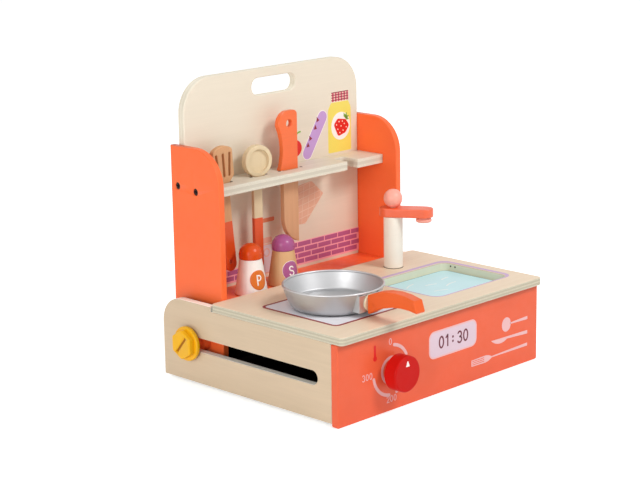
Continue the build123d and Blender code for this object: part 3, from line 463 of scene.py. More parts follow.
def blank(name, **sockets):
    """A material with an empty tree, its shader linked to its output, and the object's coordinates."""
    material = bpy.data.materials.new(name)
    material.use_nodes = True
    tree = material.node_tree
    tree.nodes.clear()
    named = {key.replace("_", " "): value for key, value in sockets.items()}
    shader = add(tree, "ShaderNodeBsdfPrincipled", named)
    add(tree, "ShaderNodeOutputMaterial", {0: shader.outputs[0]})
    return material, tree, shader, add(tree, "ShaderNodeTexCoord")


def shade(tone, factor):
    """A colour made lighter or darker."""
    return (*[min(1.0, c * factor) for c in tone[:3]], 1.0)


def noise(tree, place, cell, detail=3.0, distortion=0.0):
    """Noise whose cells have the given size, or sizes along X, Y and Z, in millimetres."""
    scale = tuple(1000 / np.broadcast_to(cell, 3))
    stretch = add(tree, "ShaderNodeMapping", {"Vector": place.outputs["Object"], "Scale": scale})
    sockets = {"Vector": stretch.outputs[0], "Scale": 1.0, "Detail": detail, "Distortion": distortion}
    return add(tree, "ShaderNodeTexNoise", sockets).outputs["Fac"]


def varied(tree, pattern, low, high, first, second, share=1.0):
    """The first colour going over to the second, up to the share, as the pattern rises from low to high."""
    limits = {0: pattern, 1: low, 2: high, 3: 0, 4: share}
    amount = add(tree, "ShaderNodeMapRange", limits, interpolation_type="SMOOTHSTEP").outputs[0]
    colours = {0: amount, 6: first, 7: second}
    return add(tree, "ShaderNodeMix", colours, data_type="RGBA", clamp_factor=True).outputs[2]


def fibres(axis, along, across):
    """Noise cell that is long along one axis."""
    return tuple(along if k == "XYZ".index(axis) else across for k in range(3))


def grained(tree, place, face, axis, contrast):
    """Colour of planed wood: a broad figure, fibres drawn as coarse as 0.7 mm to show, and a slow drift."""
    figure = noise(tree, place, fibres(axis, 111.1, 6.25), 4, 1.2)
    fibre = noise(tree, place, fibres(axis, 25, 0.6667), 2)
    drift = noise(tree, place, 142.9, 1)
    tone = varied(tree, figure, 0.3, 0.7, shade(face, 1 + 0.5 * contrast), shade(face, 1 - contrast))
    tone = varied(tree, fibre, 0.3, 0.75, tone, shade(face, 1 - 1.5 * contrast), 0.6)
    return varied(tree, drift, 0.35, 0.65, tone, shade(face, 1 + contrast), 0.35), figure, fibre


def plywood(name, face, grain, layer, low, high, contrast=0.06, plies=5, sawn=None, hidden=None):
    """Lacquered birch plywood: grained faces, and sawn edges that show the plies as light and dark lines.

    An edge is where the object normal lies across the layer axis. The ply is found from the place
    between the board's two faces, given in millimetres. A hidden face is painted dark as painted shade; it is
    given as the place of that face along the layer axis and the side that the board's other face lies on."""
    material, tree, shader, place = blank(name, Coat_Weight=0.12, Coat_Roughness=0.35)
    tone, figure, fibre = grained(tree, place, face, grain, contrast)
    across = add(tree, "ShaderNodeSeparateXYZ", {0: place.outputs["Object"]}).outputs[layer]
    level = add(tree, "ShaderNodeSeparateXYZ", {0: place.outputs["Normal"]}).outputs[layer]
    level = add(tree, "ShaderNodeMath", {0: level}, operation="ABSOLUTE").outputs[0]
    waver = 0.16
    limits = {0: across, 1: low * MM, 2: high * MM, 3: -waver / 2, 4: (plies - waver) / 2}
    depth = add(tree, "ShaderNodeMapRange", limits).outputs[0]
    wave = noise(tree, place, fibres(layer, 33.333, 16.667), 2)
    count = add(tree, "ShaderNodeMath", {0: wave, 1: waver, 2: depth}, operation="MULTIPLY_ADD").outputs[0]
    phase = add(tree, "ShaderNodeMath", {0: count}, operation="FRACT").outputs[0]
    light_ply, dark_ply = sawn or (tint("ply_edge_light"), tint("ply_edge_dark"))
    cut = varied(tree, phase, 0.42, 0.58, light_ply, dark_ply)
    cut = varied(tree, noise(tree, place, 1.1111), 0.35, 0.7, cut, shade(dark_ply, 0.93), 0.4)
    tone = varied(tree, level, 0.55, 0.8, cut, tone)
    # painted shade: the hidden face is coloured with the dark inside colour
    if hidden:
        at, toward = hidden
        reach = sorted((at * MM, (at + 0.3 * toward) * MM))
        tone = varied(tree, across, *reach, *(tone, tint("inside_stain"))[::-toward])
    roughness = {0: figure, 1: 0.3, 2: 0.7, 3: 0.42, 4: 0.56}
    roughness = add(tree, "ShaderNodeMapRange", roughness, interpolation_type="SMOOTHSTEP").outputs[0]
    fuzz = {"Height": fibre, "Strength": 0.18, "Distance": 0.2 * MM}
    relief = add(tree, "ShaderNodeBump", fuzz).outputs[0]
    fill(tree, shader, {"Base Color": tone, "Roughness": roughness, "Normal": relief})
    return material


def timber(name, face, grain="Z", contrast=0.08, dip=None, dip_at=0.0, dip_below=True, shine=0.5):
    """Solid wood, oiled. A handle dipped in paint changes to paint where its height passes a wavy line."""
    material, tree, shader, place = blank(name, Specular_IOR_Level=shine)
    tone, figure, fibre = grained(tree, place, face, grain, contrast)
    roughness = {0: figure, 1: 0.3, 2: 0.7, 3: 0.45, 4: 0.6}
    roughness = add(tree, "ShaderNodeMapRange", roughness, interpolation_type="SMOOTHSTEP").outputs[0]
    if dip:
        level = add(tree, "ShaderNodeSeparateXYZ", {0: place.outputs["Object"]}).outputs["Z"]
        wave = {0: noise(tree, place, (3.3333, 3.3333, 100), 1), 1: 0.6 * MM, 2: level}
        edge = add(tree, "ShaderNodeMath", wave, operation="MULTIPLY_ADD").outputs[0]
        ends = (dip_at * MM, (dip_at + 0.5) * MM)
        order = -1 if dip_below else 1
        tone = varied(tree, edge, *ends, *(tone, painted_tone(tree, place, dip))[::order])
        roughness = varied(tree, edge, *ends, *(roughness, (0.33, 0.33, 0.33, 1))[::order])
    fuzz = {"Height": fibre, "Strength": 0.15, "Distance": 0.2 * MM}
    relief = add(tree, "ShaderNodeBump", fuzz).outputs[0]
    fill(tree, shader, {"Base Color": tone, "Roughness": roughness, "Normal": relief})
    return material


def painted_tone(tree, place, paint, streaks=0.35):
    """Brushed paint: a slow drift of tone and faint streaks of the wood under it."""
    drift = noise(tree, place, 71.43, 2)
    streak = noise(tree, place, (16.667, 16.667, 1.4286))
    tone = varied(tree, drift, 0.3, 0.7, shade(paint, 0.97), shade(paint, 1.04))
    return varied(tree, streak, 0.45, 0.8, tone, shade(paint, 0.9), streaks)


def satin(name, paint, roughness=0.42, peel=0.12, coat=0.1, hidden=None, streaks=0.2, shine=0.3):
    """Sprayed water-based paint on wood: satin, with the fibres just felt through it.

    A hidden face, given by its Y in millimetres, is painted dark instead, as painted shade."""
    gloss = {"Coat_Weight": coat, "Coat_Roughness": 0.25, "Specular_IOR_Level": shine}
    material, tree, shader, place = blank(name, **gloss)
    tone = painted_tone(tree, place, paint, streaks)
    # painted shade: the hidden face is coloured with the dark inside colour
    if hidden is not None:
        level = add(tree, "ShaderNodeSeparateXYZ", {0: place.outputs["Object"]}).outputs["Y"]
        tone = varied(tree, level, (hidden - 0.4) * MM, hidden * MM, tone, tint("inside_stain"))
    patches = {0: noise(tree, place, 8.3333), 1: 0.3, 2: 0.7, 3: roughness - 0.06, 4: roughness + 0.06}
    uneven = add(tree, "ShaderNodeMapRange", patches, interpolation_type="SMOOTHSTEP").outputs[0]
    skin = {"Height": noise(tree, place, (2, 2, 1.1111), 2), "Strength": peel, "Distance": 0.15 * MM}
    relief = add(tree, "ShaderNodeBump", skin).outputs[0]
    fill(tree, shader, {"Base Color": tone, "Roughness": uneven, "Normal": relief})
    return material


def moulded(name, plastic):
    """Injection-moulded plastic: even colour, a fine spark-eroded texture and a little light let in."""
    glow = {"Subsurface_Weight": 0.06, "Subsurface_Scale": 0.004, "Subsurface_Radius": (1.0, 0.6, 0.2)}
    material, tree, shader, place = blank(name, Roughness=0.36, Specular_IOR_Level=0.3, **glow)
    colours = {0: noise(tree, place, 16.667, 2), 6: shade(plastic, 0.96), 7: shade(plastic, 1.04)}
    tone = add(tree, "ShaderNodeMix", colours, data_type="RGBA", clamp_factor=True).outputs[2]
    grit = {"Height": noise(tree, place, 0.3333, 2), "Strength": 0.12, "Distance": 0.05 * MM}
    fill(tree, shader, {"Base Color": tone, "Normal": add(tree, "ShaderNodeBump", grit).outputs[0]})
    return material


def ink(name, paste, roughness=0.5):
    """Screen-printed ink: flat, slightly uneven where the screen laid it down thinner."""
    material, tree, shader, place = blank(name, Roughness=roughness)
    tone = varied(tree, noise(tree, place, 1.1111, 2), 0.4, 0.8, paste, shade(paste, 1.07), 0.5)
    tone = varied(tree, noise(tree, place, 25, 1), 0.3, 0.7, tone, shade(paste, 0.95), 0.5)
    fill(tree, shader, {"Base Color": tone})
    return material


def turning_lines(tree, place, axis):
    """Noise of the height and of the distance from an upright axis, given in millimetres."""
    centre = (axis[0] * MM, axis[1] * MM, 0)
    offset = {0: place.outputs["Object"], 1: centre}
    offset = add(tree, "ShaderNodeVectorMath", offset, operation="SUBTRACT").outputs[0]
    parts = add(tree, "ShaderNodeSeparateXYZ", {0: offset}).outputs
    level = add(tree, "ShaderNodeCombineXYZ", {"X": parts["X"], "Y": parts["Y"]}).outputs[0]
    radius = add(tree, "ShaderNodeVectorMath", {0: level}, operation="LENGTH").outputs["Value"]
    spot = add(tree, "ShaderNodeCombineXYZ", {"X": radius, "Z": parts["Z"]}).outputs[0]
    pattern = {"Vector": spot, "Scale": 1000 / 1.1111, "Detail": 3.0}
    return add(tree, "ShaderNodeTexNoise", pattern).outputs["Fac"]


def metal(name, tone, roughness, axis=None, relief=0.12, foot=None):
    """Steel. Spun steel has fine turning lines about its upright axis.

    A pan's steel is painted dark just above the height of its foot, as painted contact shade."""
    material, tree, shader, place = blank(name, Metallic=1.0)
    lines = noise(tree, place, 2) if axis is None else turning_lines(tree, place, axis)
    smudge = noise(tree, place, 22.222)
    colours = {0: smudge, 6: shade(tone, 0.95), 7: shade(tone, 1.05)}
    bright = add(tree, "ShaderNodeMix", colours, data_type="RGBA", clamp_factor=True).outputs[2]
    if foot is not None:
        level = add(tree, "ShaderNodeSeparateXYZ", {0: place.outputs["Object"]}).outputs["Z"]
        # painted contact shade: the steel goes nearly black just above the foot
        bright = varied(tree, level, (foot + 0.5) * MM, (foot + FOOT_SHADE_RISE) * MM, shade(tone, 0.12), bright)
    both = add(tree, "ShaderNodeMath", {0: lines, 1: smudge}, operation="ADD").outputs[0]
    limits = {0: both, 1: 0.6, 2: 1.4, 3: roughness - 0.06, 4: roughness + 0.08}
    uneven = add(tree, "ShaderNodeMapRange", limits, interpolation_type="SMOOTHSTEP").outputs[0]
    ridges = {"Height": lines, "Strength": relief, "Distance": 0.03 * MM}
    ridges = add(tree, "ShaderNodeBump", ridges).outputs[0]
    fill(tree, shader, {"Base Color": bright, "Roughness": uneven, "Normal": ridges})
    return material


def made(name, maker, *values, **settings):
    """The named material, made once and shared after that."""
    return bpy.data.materials.get(name) or maker(name, *values, **settings)


def inked(name, hex_colour):
    """A printing ink, by its sRGB colour."""
    return made(name, ink, rgba(hex_colour))


def hutch_orange():
    return made("Orange satin paint", satin, tint("hutch_paint"))


def pale_wood():
    return made("Pale beech", timber, rgba("e2cfae"))


def birch(part, node, face, grain, layer, **looks):
    """The plywood of one board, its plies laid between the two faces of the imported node."""
    low, high = span(node)
    k = "XYZ".index(layer)
    return made("Birch ply, " + part, plywood, tint(face), grain, layer, low[k], high[k], **looks)


# ------------------------------------------------------------------------- base boards
SLOT_MARGIN = 24.6      # side panel's front edge to the middle of the slot's front end
PANEL_CORNER = 1.8      # corner radius of the front panel
DIAL_BORE = 3.1         # radius of the front panel's hole for the dial's spindle
SINK_LAP = 7.0          # how far the sink board reaches under the worktop
SINK_LINING = 0.6       # thickness of the sink's painted wall, drawn thicker than real
OVERFLOW_RADIUS = 1.0
OVERFLOW_SPOTS = ((-18.4, 85.2), (-24.6, 85.2))    # Y and Z on the sink's right wall


class Piece:
    """What every operator here shares."""

    bl_options = {"REGISTER", "UNDO"}

    def execute(self, context):
        self.build()
        return {"FINISHED"}


def carried(material, *nodes):
    """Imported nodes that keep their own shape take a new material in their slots."""
    for node in nodes:
        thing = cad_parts[node]
        if not thing.material_slots:
            thing.data.materials.append(material)
        for holder in thing.material_slots:
            holder.material = material


def base_side(side):
    """Slotted side panel, whose rear part stands up beside the worktop with a swept corner."""
    low, high = span("base_side_" + side)
    top_low, top_high = span("worktop")
    rear = [(high[1], low[2]), (high[1], high[2]), (top_high[1], high[2]), (top_high[1], top_low[2])]
    corners = [(low[1], low[2]), *rear, (low[1], top_low[2])]
    outline = rounded(corners, [0, 0, size("side_corner"), 0, 0, 0])
    hinge = middle("slide_bush_" + side)
    slot = stadium(low[1] + SLOT_MARGIN, hinge[1], hinge[2], size("slot_height") / 2)
    # the inner face is painted dark as painted shade
    inner_face = (high[0], -1) if side == "left" else (low[0], 1)
    # painted light: the sawn edges are coloured near white so that the cut faces in the slot's shade read
    # pale
    looks = {"contrast": 0.035, "sawn": (rgba("fdfaf2"), rgba("f3ecdd")), "hidden": inner_face}
    material = birch("side " + side, "base_side_" + side, "side_face", "Y", "X", **looks)
    shape = slab([outline, slot], low[0], high[0], 0.6, flat_yz)
    piece("side_panel_" + side, [shape], material, "base", ["base_side_" + side])


def front_board():
    """Painted front panel, bored for the dial's spindle."""
    low, high = span("front_panel")
    dial = middle("dial_spindle")
    outline = rectangle(low[0], high[0], low[2], high[2], PANEL_CORNER)
    # the inner face is painted dark as painted shade
    material = made("Front panel paint", satin, tint("front_paint"), 0.45, hidden=high[1])
    shape = slab([outline, circle(dial[0], dial[2], DIAL_BORE)], low[1], high[1], 1.6, flat_xz)
    piece("front_board", [shape], material, "base", ["front_panel"])


def worktop_board():
    """Worktop with the sink's cut-out."""
    low, high = span("worktop")
    outlines = [plan("worktop", size("worktop_corner")), plan("sink_board", size("sink_corner"), SINK_LAP)]
    # the underside is painted dark as painted shade
    material = birch("worktop", "worktop", "worktop_face", "X", "Z", contrast=0.03, hidden=(low[2], 1))
    shape = slab(outlines, low[2], high[2], size("board_edge"), flat_xy)
    piece("worktop_board", [shape], material, "base", ["worktop"])


def sink():
    """Sink board, the painted wall of the cut-out above it and the overflow holes printed on that wall."""
    low, high = span("sink_board")
    deck = span("worktop")[1][2]
    corner = size("sink_corner")
    shape = slab([plan("sink_board", corner)], low[2], high[2], 0.3, flat_xy)
    piece("sink_sheet", [shape], inked("Sink sheet", "d9dcc2"), "base", ["sink_board"])

    inset = SINK_LAP + SINK_LINING
    walls = [plan("sink_board", corner, SINK_LAP), plan("sink_board", corner - SINK_LINING, inset)]
    shape = slab(walls, high[2], deck - 1.0, 0, flat_xy)
    piece("sink_lining", [shape], inked("Sink wall paint", "dfe0c8"), "base", smooth=False)
    wall = outward(-1, (high[0] - inset, 0, 0))
    dots = [slab([circle(y, z, OVERFLOW_RADIUS)], -0.05, PRINT_LIFT, 0, wall) for y, z in OVERFLOW_SPOTS]
    piece("overflow_dots", dots, inked("Dark ink", "3c352c"), "base", smooth=False)


class KITCHEN_OT_base(Piece, bpy.types.Operator):
    """Side panels with their slots, front panel, worktop with the sink's cut-out and the sink's sheet"""

    bl_idname = "kitchen.base"
    bl_label = "Base"

    def build(self):
        for side in SIDES:
            base_side(side)
        front_board()
        worktop_board()
        sink()
        # painted shade: the floor, battens and dowels inside the base are coloured near black
        shaded_softwood = made("Stained softwood", timber, tint("inside_stain"), "Y", contrast=0.12, shine=0.0)
        carried(shaded_softwood, "base_floor", "floor_batten_left", "floor_batten_right")
        carried(shaded_softwood, "worktop_dowels", "front_dowels")
        carried(made("Zinc screws", metal, rgba("9a9a98"), 0.35), "floor_screws")


# -------------------------------------------------------------------------------- tap
TAP_ARM_RADIUS = 10.0   # half circles at the arm's two ends
TAP_ARM_TAIL = 4.5      # tap's axis to the middle of the arm's rear end
TAP_DISC_GAP = 1.4      # between the arm and the nozzle's disc
TAP_NECK_RADIUS = 6.5   # the nozzle's neck, above its disc


def tap_post():
    """Turned post, and a dark ring painted round its foot as contact shade."""
    low, high = span("tap_post")
    axis = middle("tap_post")
    deck = span("worktop")[1][2]
    radius = (high[0] - low[0]) / 2
    post = lathe(soft_cylinder(radius, deck, high[2], 1.1, size("turned_edge")), upright("tap_post"))
    material = made("Cream paint", satin, tint("tap_cream"))
    piece("tap_column", [post], material, "base", ["tap_post"])
    # painted contact shade: a thin dark ring round the post's foot
    foot_shade = slab([circle(axis[0], axis[1], radius + 0.35)], deck - 0.1, deck + 0.25, 0, flat_xy)
    piece("tap_foot_shade", [foot_shade], inked("Glue line", "4a3428"), "base", smooth=False)


def tap_ball(paint):
    """Ball, cut flat where it stands on the arm."""
    low, high = span("tap_ball")
    radius = (high[0] - low[0]) / 2
    centre = high[2] - radius
    start = math.degrees(math.asin((low[2] - centre) / radius))
    profile = np.concatenate([[(0, low[2])], arc((0, centre), radius, start, 90)[:-1], [(0, high[2])]])
    piece("tap_bead", [lathe(profile, upright("tap_post"))], paint, "tap_swivel", ["tap_ball"])


def tap_arm():
    """Flat arm with round ends, laid from the tap's axis toward the nozzle."""
    low, high = span("tap_arm")
    axis = middle("tap_post")
    way = middle("tap_nozzle") - axis
    azimuth = math.degrees(math.atan2(way[1], way[0]))
    outline = stadium(-TAP_ARM_TAIL, math.hypot(way[1], way[0]), 0, TAP_ARM_RADIUS)
    arm = slab([outline], low[2], high[2], 0.9, moved(flat_xy, (axis[0], axis[1], 0), azimuth))
    material = made("Tap arm paint", satin, tint("tap_orange"), shine=0.8)
    piece("tap_lever", [arm], material, "tap_swivel", ["tap_arm"])


def tap_nozzle(paint):
    """Soft disc on a short neck under the arm's end."""
    low, high = span("tap_nozzle")
    arm = span("tap_arm")[0][2]
    seat = arm - TAP_DISC_GAP
    disc = soft_cylinder((high[0] - low[0]) / 2, low[2], seat, 1.9, 1.9)[:-1]
    profile = np.concatenate([disc, [(TAP_NECK_RADIUS, seat), (TAP_NECK_RADIUS, arm), (0, arm)]])
    nozzle = lathe(profile, upright("tap_nozzle"))
    piece("tap_spout", [nozzle], paint, "tap_swivel", ["tap_nozzle"])


class KITCHEN_OT_tap(Piece, bpy.types.Operator):
    """Tap: turned post, ball and nozzle, and the flat arm between them"""

    bl_idname = "kitchen.tap"
    bl_label = "Tap"

    def build(self):
        pink = made("Pink paint", satin, tint("tap_pink"), 0.36)
        tap_post()
        tap_ball(pink)
        tap_arm()
        tap_nozzle(pink)
        carried(pale_wood(), "tap_pin")


class KITCHEN_OT_dial(Piece, bpy.types.Operator):
    """Oven dial: turned knob with a printed arrow, on its wooden spindle"""

    bl_idname = "kitchen.dial"
    bl_label = "Oven dial"

    def build(self):
        low, high = span("dial_knob")
        axis = middle("dial_knob")
        place = moved(toward_front, (axis[0], 0, axis[2]))
        knob = lathe(soft_cylinder((high[0] - low[0]) / 2, -high[1], -low[1], 1.0, 1.6), place)
        finish = {"peel": 0.01, "coat": 0.03, "streaks": 0.0, "shine": 0.1}
        material = made("Red gloss paint", satin, tint("dial_paint"), 0.45, **finish)
        piece("dial_disc", [knob], material, "dial", ["dial_knob"])
        arrow = rounded([(-2.6, 7.6), (2.6, 7.6), (0.5, 12.8), (-0.5, 12.8)], 0.3)
        shape = slab([arrow], -low[1] - 0.05, -low[1] + PRINT_LIFT, 0, place)
        piece("dial_arrow", [shape], inked("White ink", "fff4ee"), "dial")
        carried(pale_wood(), "dial_spindle", "dial_retainer")


# ------------------------------------------------------------------------------- hutch
SCREW_RADIUS = 3.9      # countersunk holes of the sides' screws
SCREW_DEPTH = 3.2
SCREW_Y = 91.15         # the bay floor's front screw
SCREW_SETBACK = 15.6    # shelf's front edge to its front screw
SCREW_DROP = 2.9        # shelf's top to that screw
LEG_CORNER = 12.0       # front foot corner of the hutch's sides
HANDLE_DROP = 18.4      # back panel's top to the middle of the carrying slot
HANDLE_HALF = 22.1      # from the middle to each end's centre
HANDLE_RADIUS = 8.9
NOTCH_FROM_RIGHT = 46.5     # shelf's right end to the middle of the notch in its front edge
NOTCH_WIDTH = 15.5
NOTCH_DEPTH = 22.0
SHELF_ROW = 19.3        # shelf's front edge to the middle of the utensils' slots
MARK_SETBACK = 2.0      # dark marks in front of that line
MARK_RADIUS = 1.6
# the shelf's left end to each slot's middle, the slot's width and depth, and the reach of its dark marks
SHELF_SLOTS = {
    "spatula": (33.4, 17.0, 9.0, 9.4),
    "spoon": (80.3, 13.6, 11.0, 10.4),
    "knife": (125.3, 22.6, 9.0, 15.6),
}


def hanging(utensil):
    """Middle of a utensil's slot in X and Y, and the shelf's top."""
    low, high = span("hutch_shelf")
    return low[0] + SHELF_SLOTS[utensil][0], low[1] + SHELF_ROW, high[2]


def hutch_side(side):
    """Side panel: swept front top corner, and a heel that turns about the hinge."""
    low, high = span("hutch_side_" + side)
    pivot = middle("slide_bush_left")[1:]
    heel_radius = high[1] - pivot[0]
    heel = math.degrees(math.asin((low[2] - pivot[1]) / heel_radius))
    sweep = size("side_sweep")
    front = [
        arc((low[1] + sweep, high[2] - sweep), sweep, 90, 180),
        arc((low[1] + LEG_CORNER, low[2] + LEG_CORNER), LEG_CORNER, 180, 270),
    ]
    outline = np.concatenate([arc(pivot, heel_radius, heel, 0), [(high[1], high[2])], *front])
    shelf_front, shelf_top = span("hutch_shelf")[0][1], span("hutch_shelf")[1][2]
    back, floor = middle("hutch_back")[1], middle("hutch_floor")[2]
    screws = [(back, shelf_top), (shelf_front + SCREW_SETBACK, shelf_top - SCREW_DROP)]
    screws += [(back, floor), (SCREW_Y, floor)]
    pockets = [(circle(y, z, SCREW_RADIUS), SCREW_DEPTH) for y, z in screws]
    sign = -1 if side == "left" else 1
    inner, outer = sorted((sign * low[0], sign * high[0]))
    shape = slab([outline], inner, outer, size("board_edge"), outward(sign), pockets)
    piece("hutch_cheek_" + side, [shape], hutch_orange(), "hutch", ["hutch_side_" + side])


def back_board():
    """Back panel with round top corners and the carrying slot."""
    low, high = span("hutch_back")
    corner = size("back_corner")
    corners = [(low[0], low[2]), (high[0], low[2]), (high[0], high[2]), (low[0], high[2])]
    outline = rounded(corners, [1.4, 1.4, corner, corner])
    handle = stadium(-HANDLE_HALF, HANDLE_HALF, high[2] - HANDLE_DROP, HANDLE_RADIUS)
    sawn = (rgba("ece3cf"), rgba("e6dcc6"))
    material = birch("back", "hutch_back", "back_face", "X", "Y", contrast=0.02, sawn=sawn)
    shape = slab([outline, handle], low[1], high[1], 1.2, flat_xz)
    piece("back_board", [shape], material, "hutch", ["hutch_back"])


def bay_board():
    """Floor of the bay that the shakers stand in."""
    low, high = span("hutch_floor")
    shape = slab([plan("hutch_floor", 1.0)], low[2], high[2], 0.8, flat_xy)
    material = made("Orange satin paint, bay", satin, tint("hutch_paint"), shine=0.7)
    piece("bay_board", [shape], material, "hutch", ["hutch_floor"])


def shelf_board():
    """Shelf with a notch in its front edge and a slot for each utensil, and dark marks painted at the slots'
    ends as the shade of their openings.
    """
    low, high = span("hutch_shelf")
    front = low[1]
    left = high[0] - NOTCH_FROM_RIGHT - NOTCH_WIDTH / 2
    right = left + NOTCH_WIDTH
    notch = [(left, front), (left, front + NOTCH_DEPTH), (right, front + NOTCH_DEPTH), (right, front)]
    corners = [(low[0], front), *notch, (high[0], front), (high[0], high[1]), (low[0], high[1])]
    outlines = [rounded(corners, [1.0, 1.5, 3, 3, 1.5, 1.0, 1.0, 1.0])]
    # painted shade: dark marks at each slot's ends where its opening shows dark
    slot_shade = inked("Slot stain", "3a2c22")
    marks = []
    for utensil, (_, width, depth, reach) in SHELF_SLOTS.items():
        x, row, _ = hanging(utensil)
        outlines.append(rectangle(x - width / 2, x + width / 2, row - depth / 2, row + depth / 2, 2.5))
        for spot in (x - reach, x + reach):
            marks.append(([circle(spot, row - MARK_SETBACK, MARK_RADIUS)], slot_shade, 1))
    sawn = (rgba("e4ddcb"), rgba("d3cbb8"))
    material = birch("shelf", "hutch_shelf", "shelf_face", "X", "Z", contrast=0.03, plies=3, sawn=sawn)
    shape = slab(outlines, low[2], high[2], 0.7, flat_xy)
    piece("shelf_board", [shape], material, "hutch", ["hutch_shelf"])
    films("slot_ends", marks, on_top(high[2]), "hutch")


class KITCHEN_OT_hutch(Piece, bpy.types.Operator):
    """Hutch: swept sides with sunk screws, back panel with a carrying slot, bay floor and slotted shelf"""

    bl_idname = "kitchen.hutch"
    bl_label = "Hutch"

    def build(self):
        for side in SIDES:
            hutch_side(side)
        back_board()
        bay_board()
        shelf_board()
        # the footboard takes the same painted shade
        carried(bpy.data.materials["Stained softwood"], "hutch_footboard")
        steel = made("Burnished screws", metal, rgba("3a302e"), 0.24)
        carried(steel, "hutch_screws_left", "hutch_screws_right")


KNOB_SEAT = 3.2         # knob's inner face to its flange
KNOB_NECK = 6.8         # knob's inner face to the top of the flange
KNOB_HUB = 11.0         # radius between the side panel and the flange
HEAD_REACH = 15.01      # middle of the head to its six corners
GROOVE_HALF = 9.2
GROOVE_RADIUS = 1.9
GROOVE_DEPTH = 2.2
GROOVE_TURN = -50.0


def hexagon(reach):
    """Six corners at the reach from the origin, the first 30 degrees above the level line."""
    angle = np.radians(np.arange(30, 390, 60))
    return reach * np.stack([np.cos(angle), np.sin(angle)], 1)


def clamp_knob(sign, side):
    """Turned flange, six-sided head with soft corners, and the floor of its grip groove in darker amber as
    painted shade.
    """
    low, high = span("clamp_knob_" + side)
    axis = middle("clamp_knob_" + side)
    inner, outer = sorted((sign * low[0], sign * high[0]))
    place = outward(sign, (0, axis[1], axis[2]))
    seat, neck = inner + KNOB_SEAT, inner + KNOB_NECK
    rim = soft_cylinder((high[1] - low[1]) / 2, seat, neck, 0.3, 1.4)
    flange = lathe(np.concatenate([[(0, inner), (KNOB_HUB, inner), (KNOB_HUB, seat)], rim[1:]]), place)
    groove = stadium(-GROOVE_HALF, GROOVE_HALF, 0, GROOVE_RADIUS) @ turned(GROOVE_TURN)
    outline = rounded(hexagon(HEAD_REACH), 3.0)
    head = slab([outline], neck - 0.5, outer, 1.4, place, [(groove, GROOVE_DEPTH)])
    # painted shade: a darker amber sheet on the groove's floor
    floor = slab([groove * 0.97], outer - GROOVE_DEPTH - 0.05, outer - GROOVE_DEPTH + 0.05, 0, place)
    plastic = made("Yellow plastic", moulded, tint("knob_plastic"))
    looks = [plastic, plastic, made("Groove amber", moulded, rgba("a86c08"))]
    name = "clamp_grip_" + side
    piece(name, [flange, head, floor], looks, "knob_" + side, ["clamp_knob_" + side])


class KITCHEN_OT_clamps(Piece, bpy.types.Operator):
    """Clamp knobs: a thin flange, a six-sided head with soft corners and a grip groove across its face"""

    bl_idname = "kitchen.clamps"
    bl_label = "Clamp knobs"

    def build(self):
        for sign, side in zip((-1, 1), SIDES):
            clamp_knob(sign, side)
            steel = made("Zinc steel", metal, rgba("b4b2ae"), 0.32)
            carried(steel, "clamp_bolt_" + side, "knob_insert_" + side)
            carried(made("Bush plastic", moulded, tint("hutch_paint")), "slide_bush_" + side)


# ----------------------------------------------------------------------- pan and tools
PAN_FOOT = 42.0         # radius at the foot, if the wall met it sharply
PAN_RIM = 49.5
PAN_WALL = 1.2
PAN_FLOOR = 5.8         # floor of the pan over its foot
PAN_OPENING = 30.0      # radius of the opening under the pressed-up floor
PAN_FLAT = 37.9         # radius of the pressed flat inside, half a millimetre deep
PAN_BEAD = 1.1          # radius of the rolled rim
GRIP_ROOT = 51.3        # pan's axis to the two ends of the grip
GRIP_TIP = 115.3
GRIP_HALF = 6.0         # half the grip's width


def pan_corner(foot, slope, level, radius):
    """Arc between a floor at the level and a wall that leans out by the slope and would meet z = 0 at foot.

    The arc's centre is one radius above the floor and as far in as its tangent length."""
    lean = math.atan(slope)
    tangent = radius * math.tan((math.pi / 2 - lean) / 2)
    return arc((foot - tangent, level + radius), radius, -90, -math.degrees(lean))


def pan_cup():
    """Spun cup: one half outline up the outside, round the rolled rim and back over the pressed floor."""
    low, high = span("pan_body")
    height = high[2] - low[2]
    slope = (PAN_RIM - PAN_FOOT) / height
    ceiling = PAN_FLOOR - PAN_WALL
    under = pan_corner(PAN_FOOT - PAN_WALL, slope, PAN_WALL, 7.8)
    under = under[under[:, 1] < ceiling][::-1]
    roof = [(0, ceiling), (under[0, 0] + 0.1, ceiling)]
    lip = [(PAN_OPENING, PAN_WALL), (PAN_OPENING, 0)]
    outer = pan_corner(PAN_FOOT, slope, 0, 9.0)
    bead = arc((PAN_RIM - PAN_WALL / 2, height - PAN_BEAD), PAN_BEAD, -62, 242)
    inner = pan_corner(PAN_FOOT - PAN_WALL + slope * PAN_FLOOR, slope, PAN_FLOOR, 1.6)[::-1]
    pressed = [(PAN_FLAT + 0.7, PAN_FLOOR), (PAN_FLAT, PAN_FLOOR - 0.5), (0, PAN_FLOOR - 0.5)]
    profile = np.concatenate([roof, under, lip, outer, bead, inner, pressed])
    steel = made("Spun steel", metal, rgba("c0c0c1"), 0.47, middle("pan_body"), 0.04, low[2])
    cup = lathe(profile, upright("pan_body", low[2]), 160)
    piece("pan_cup", [cup], steel, "pan", ["pan_body"])


def corner_radii(top, under, radius):
    """The radius at the two ends of each arc and nothing between."""
    radii = []
    for run in (top, under):
        radii += [radius] + [0.0] * (len(run) - 2) + [radius]
    return radii


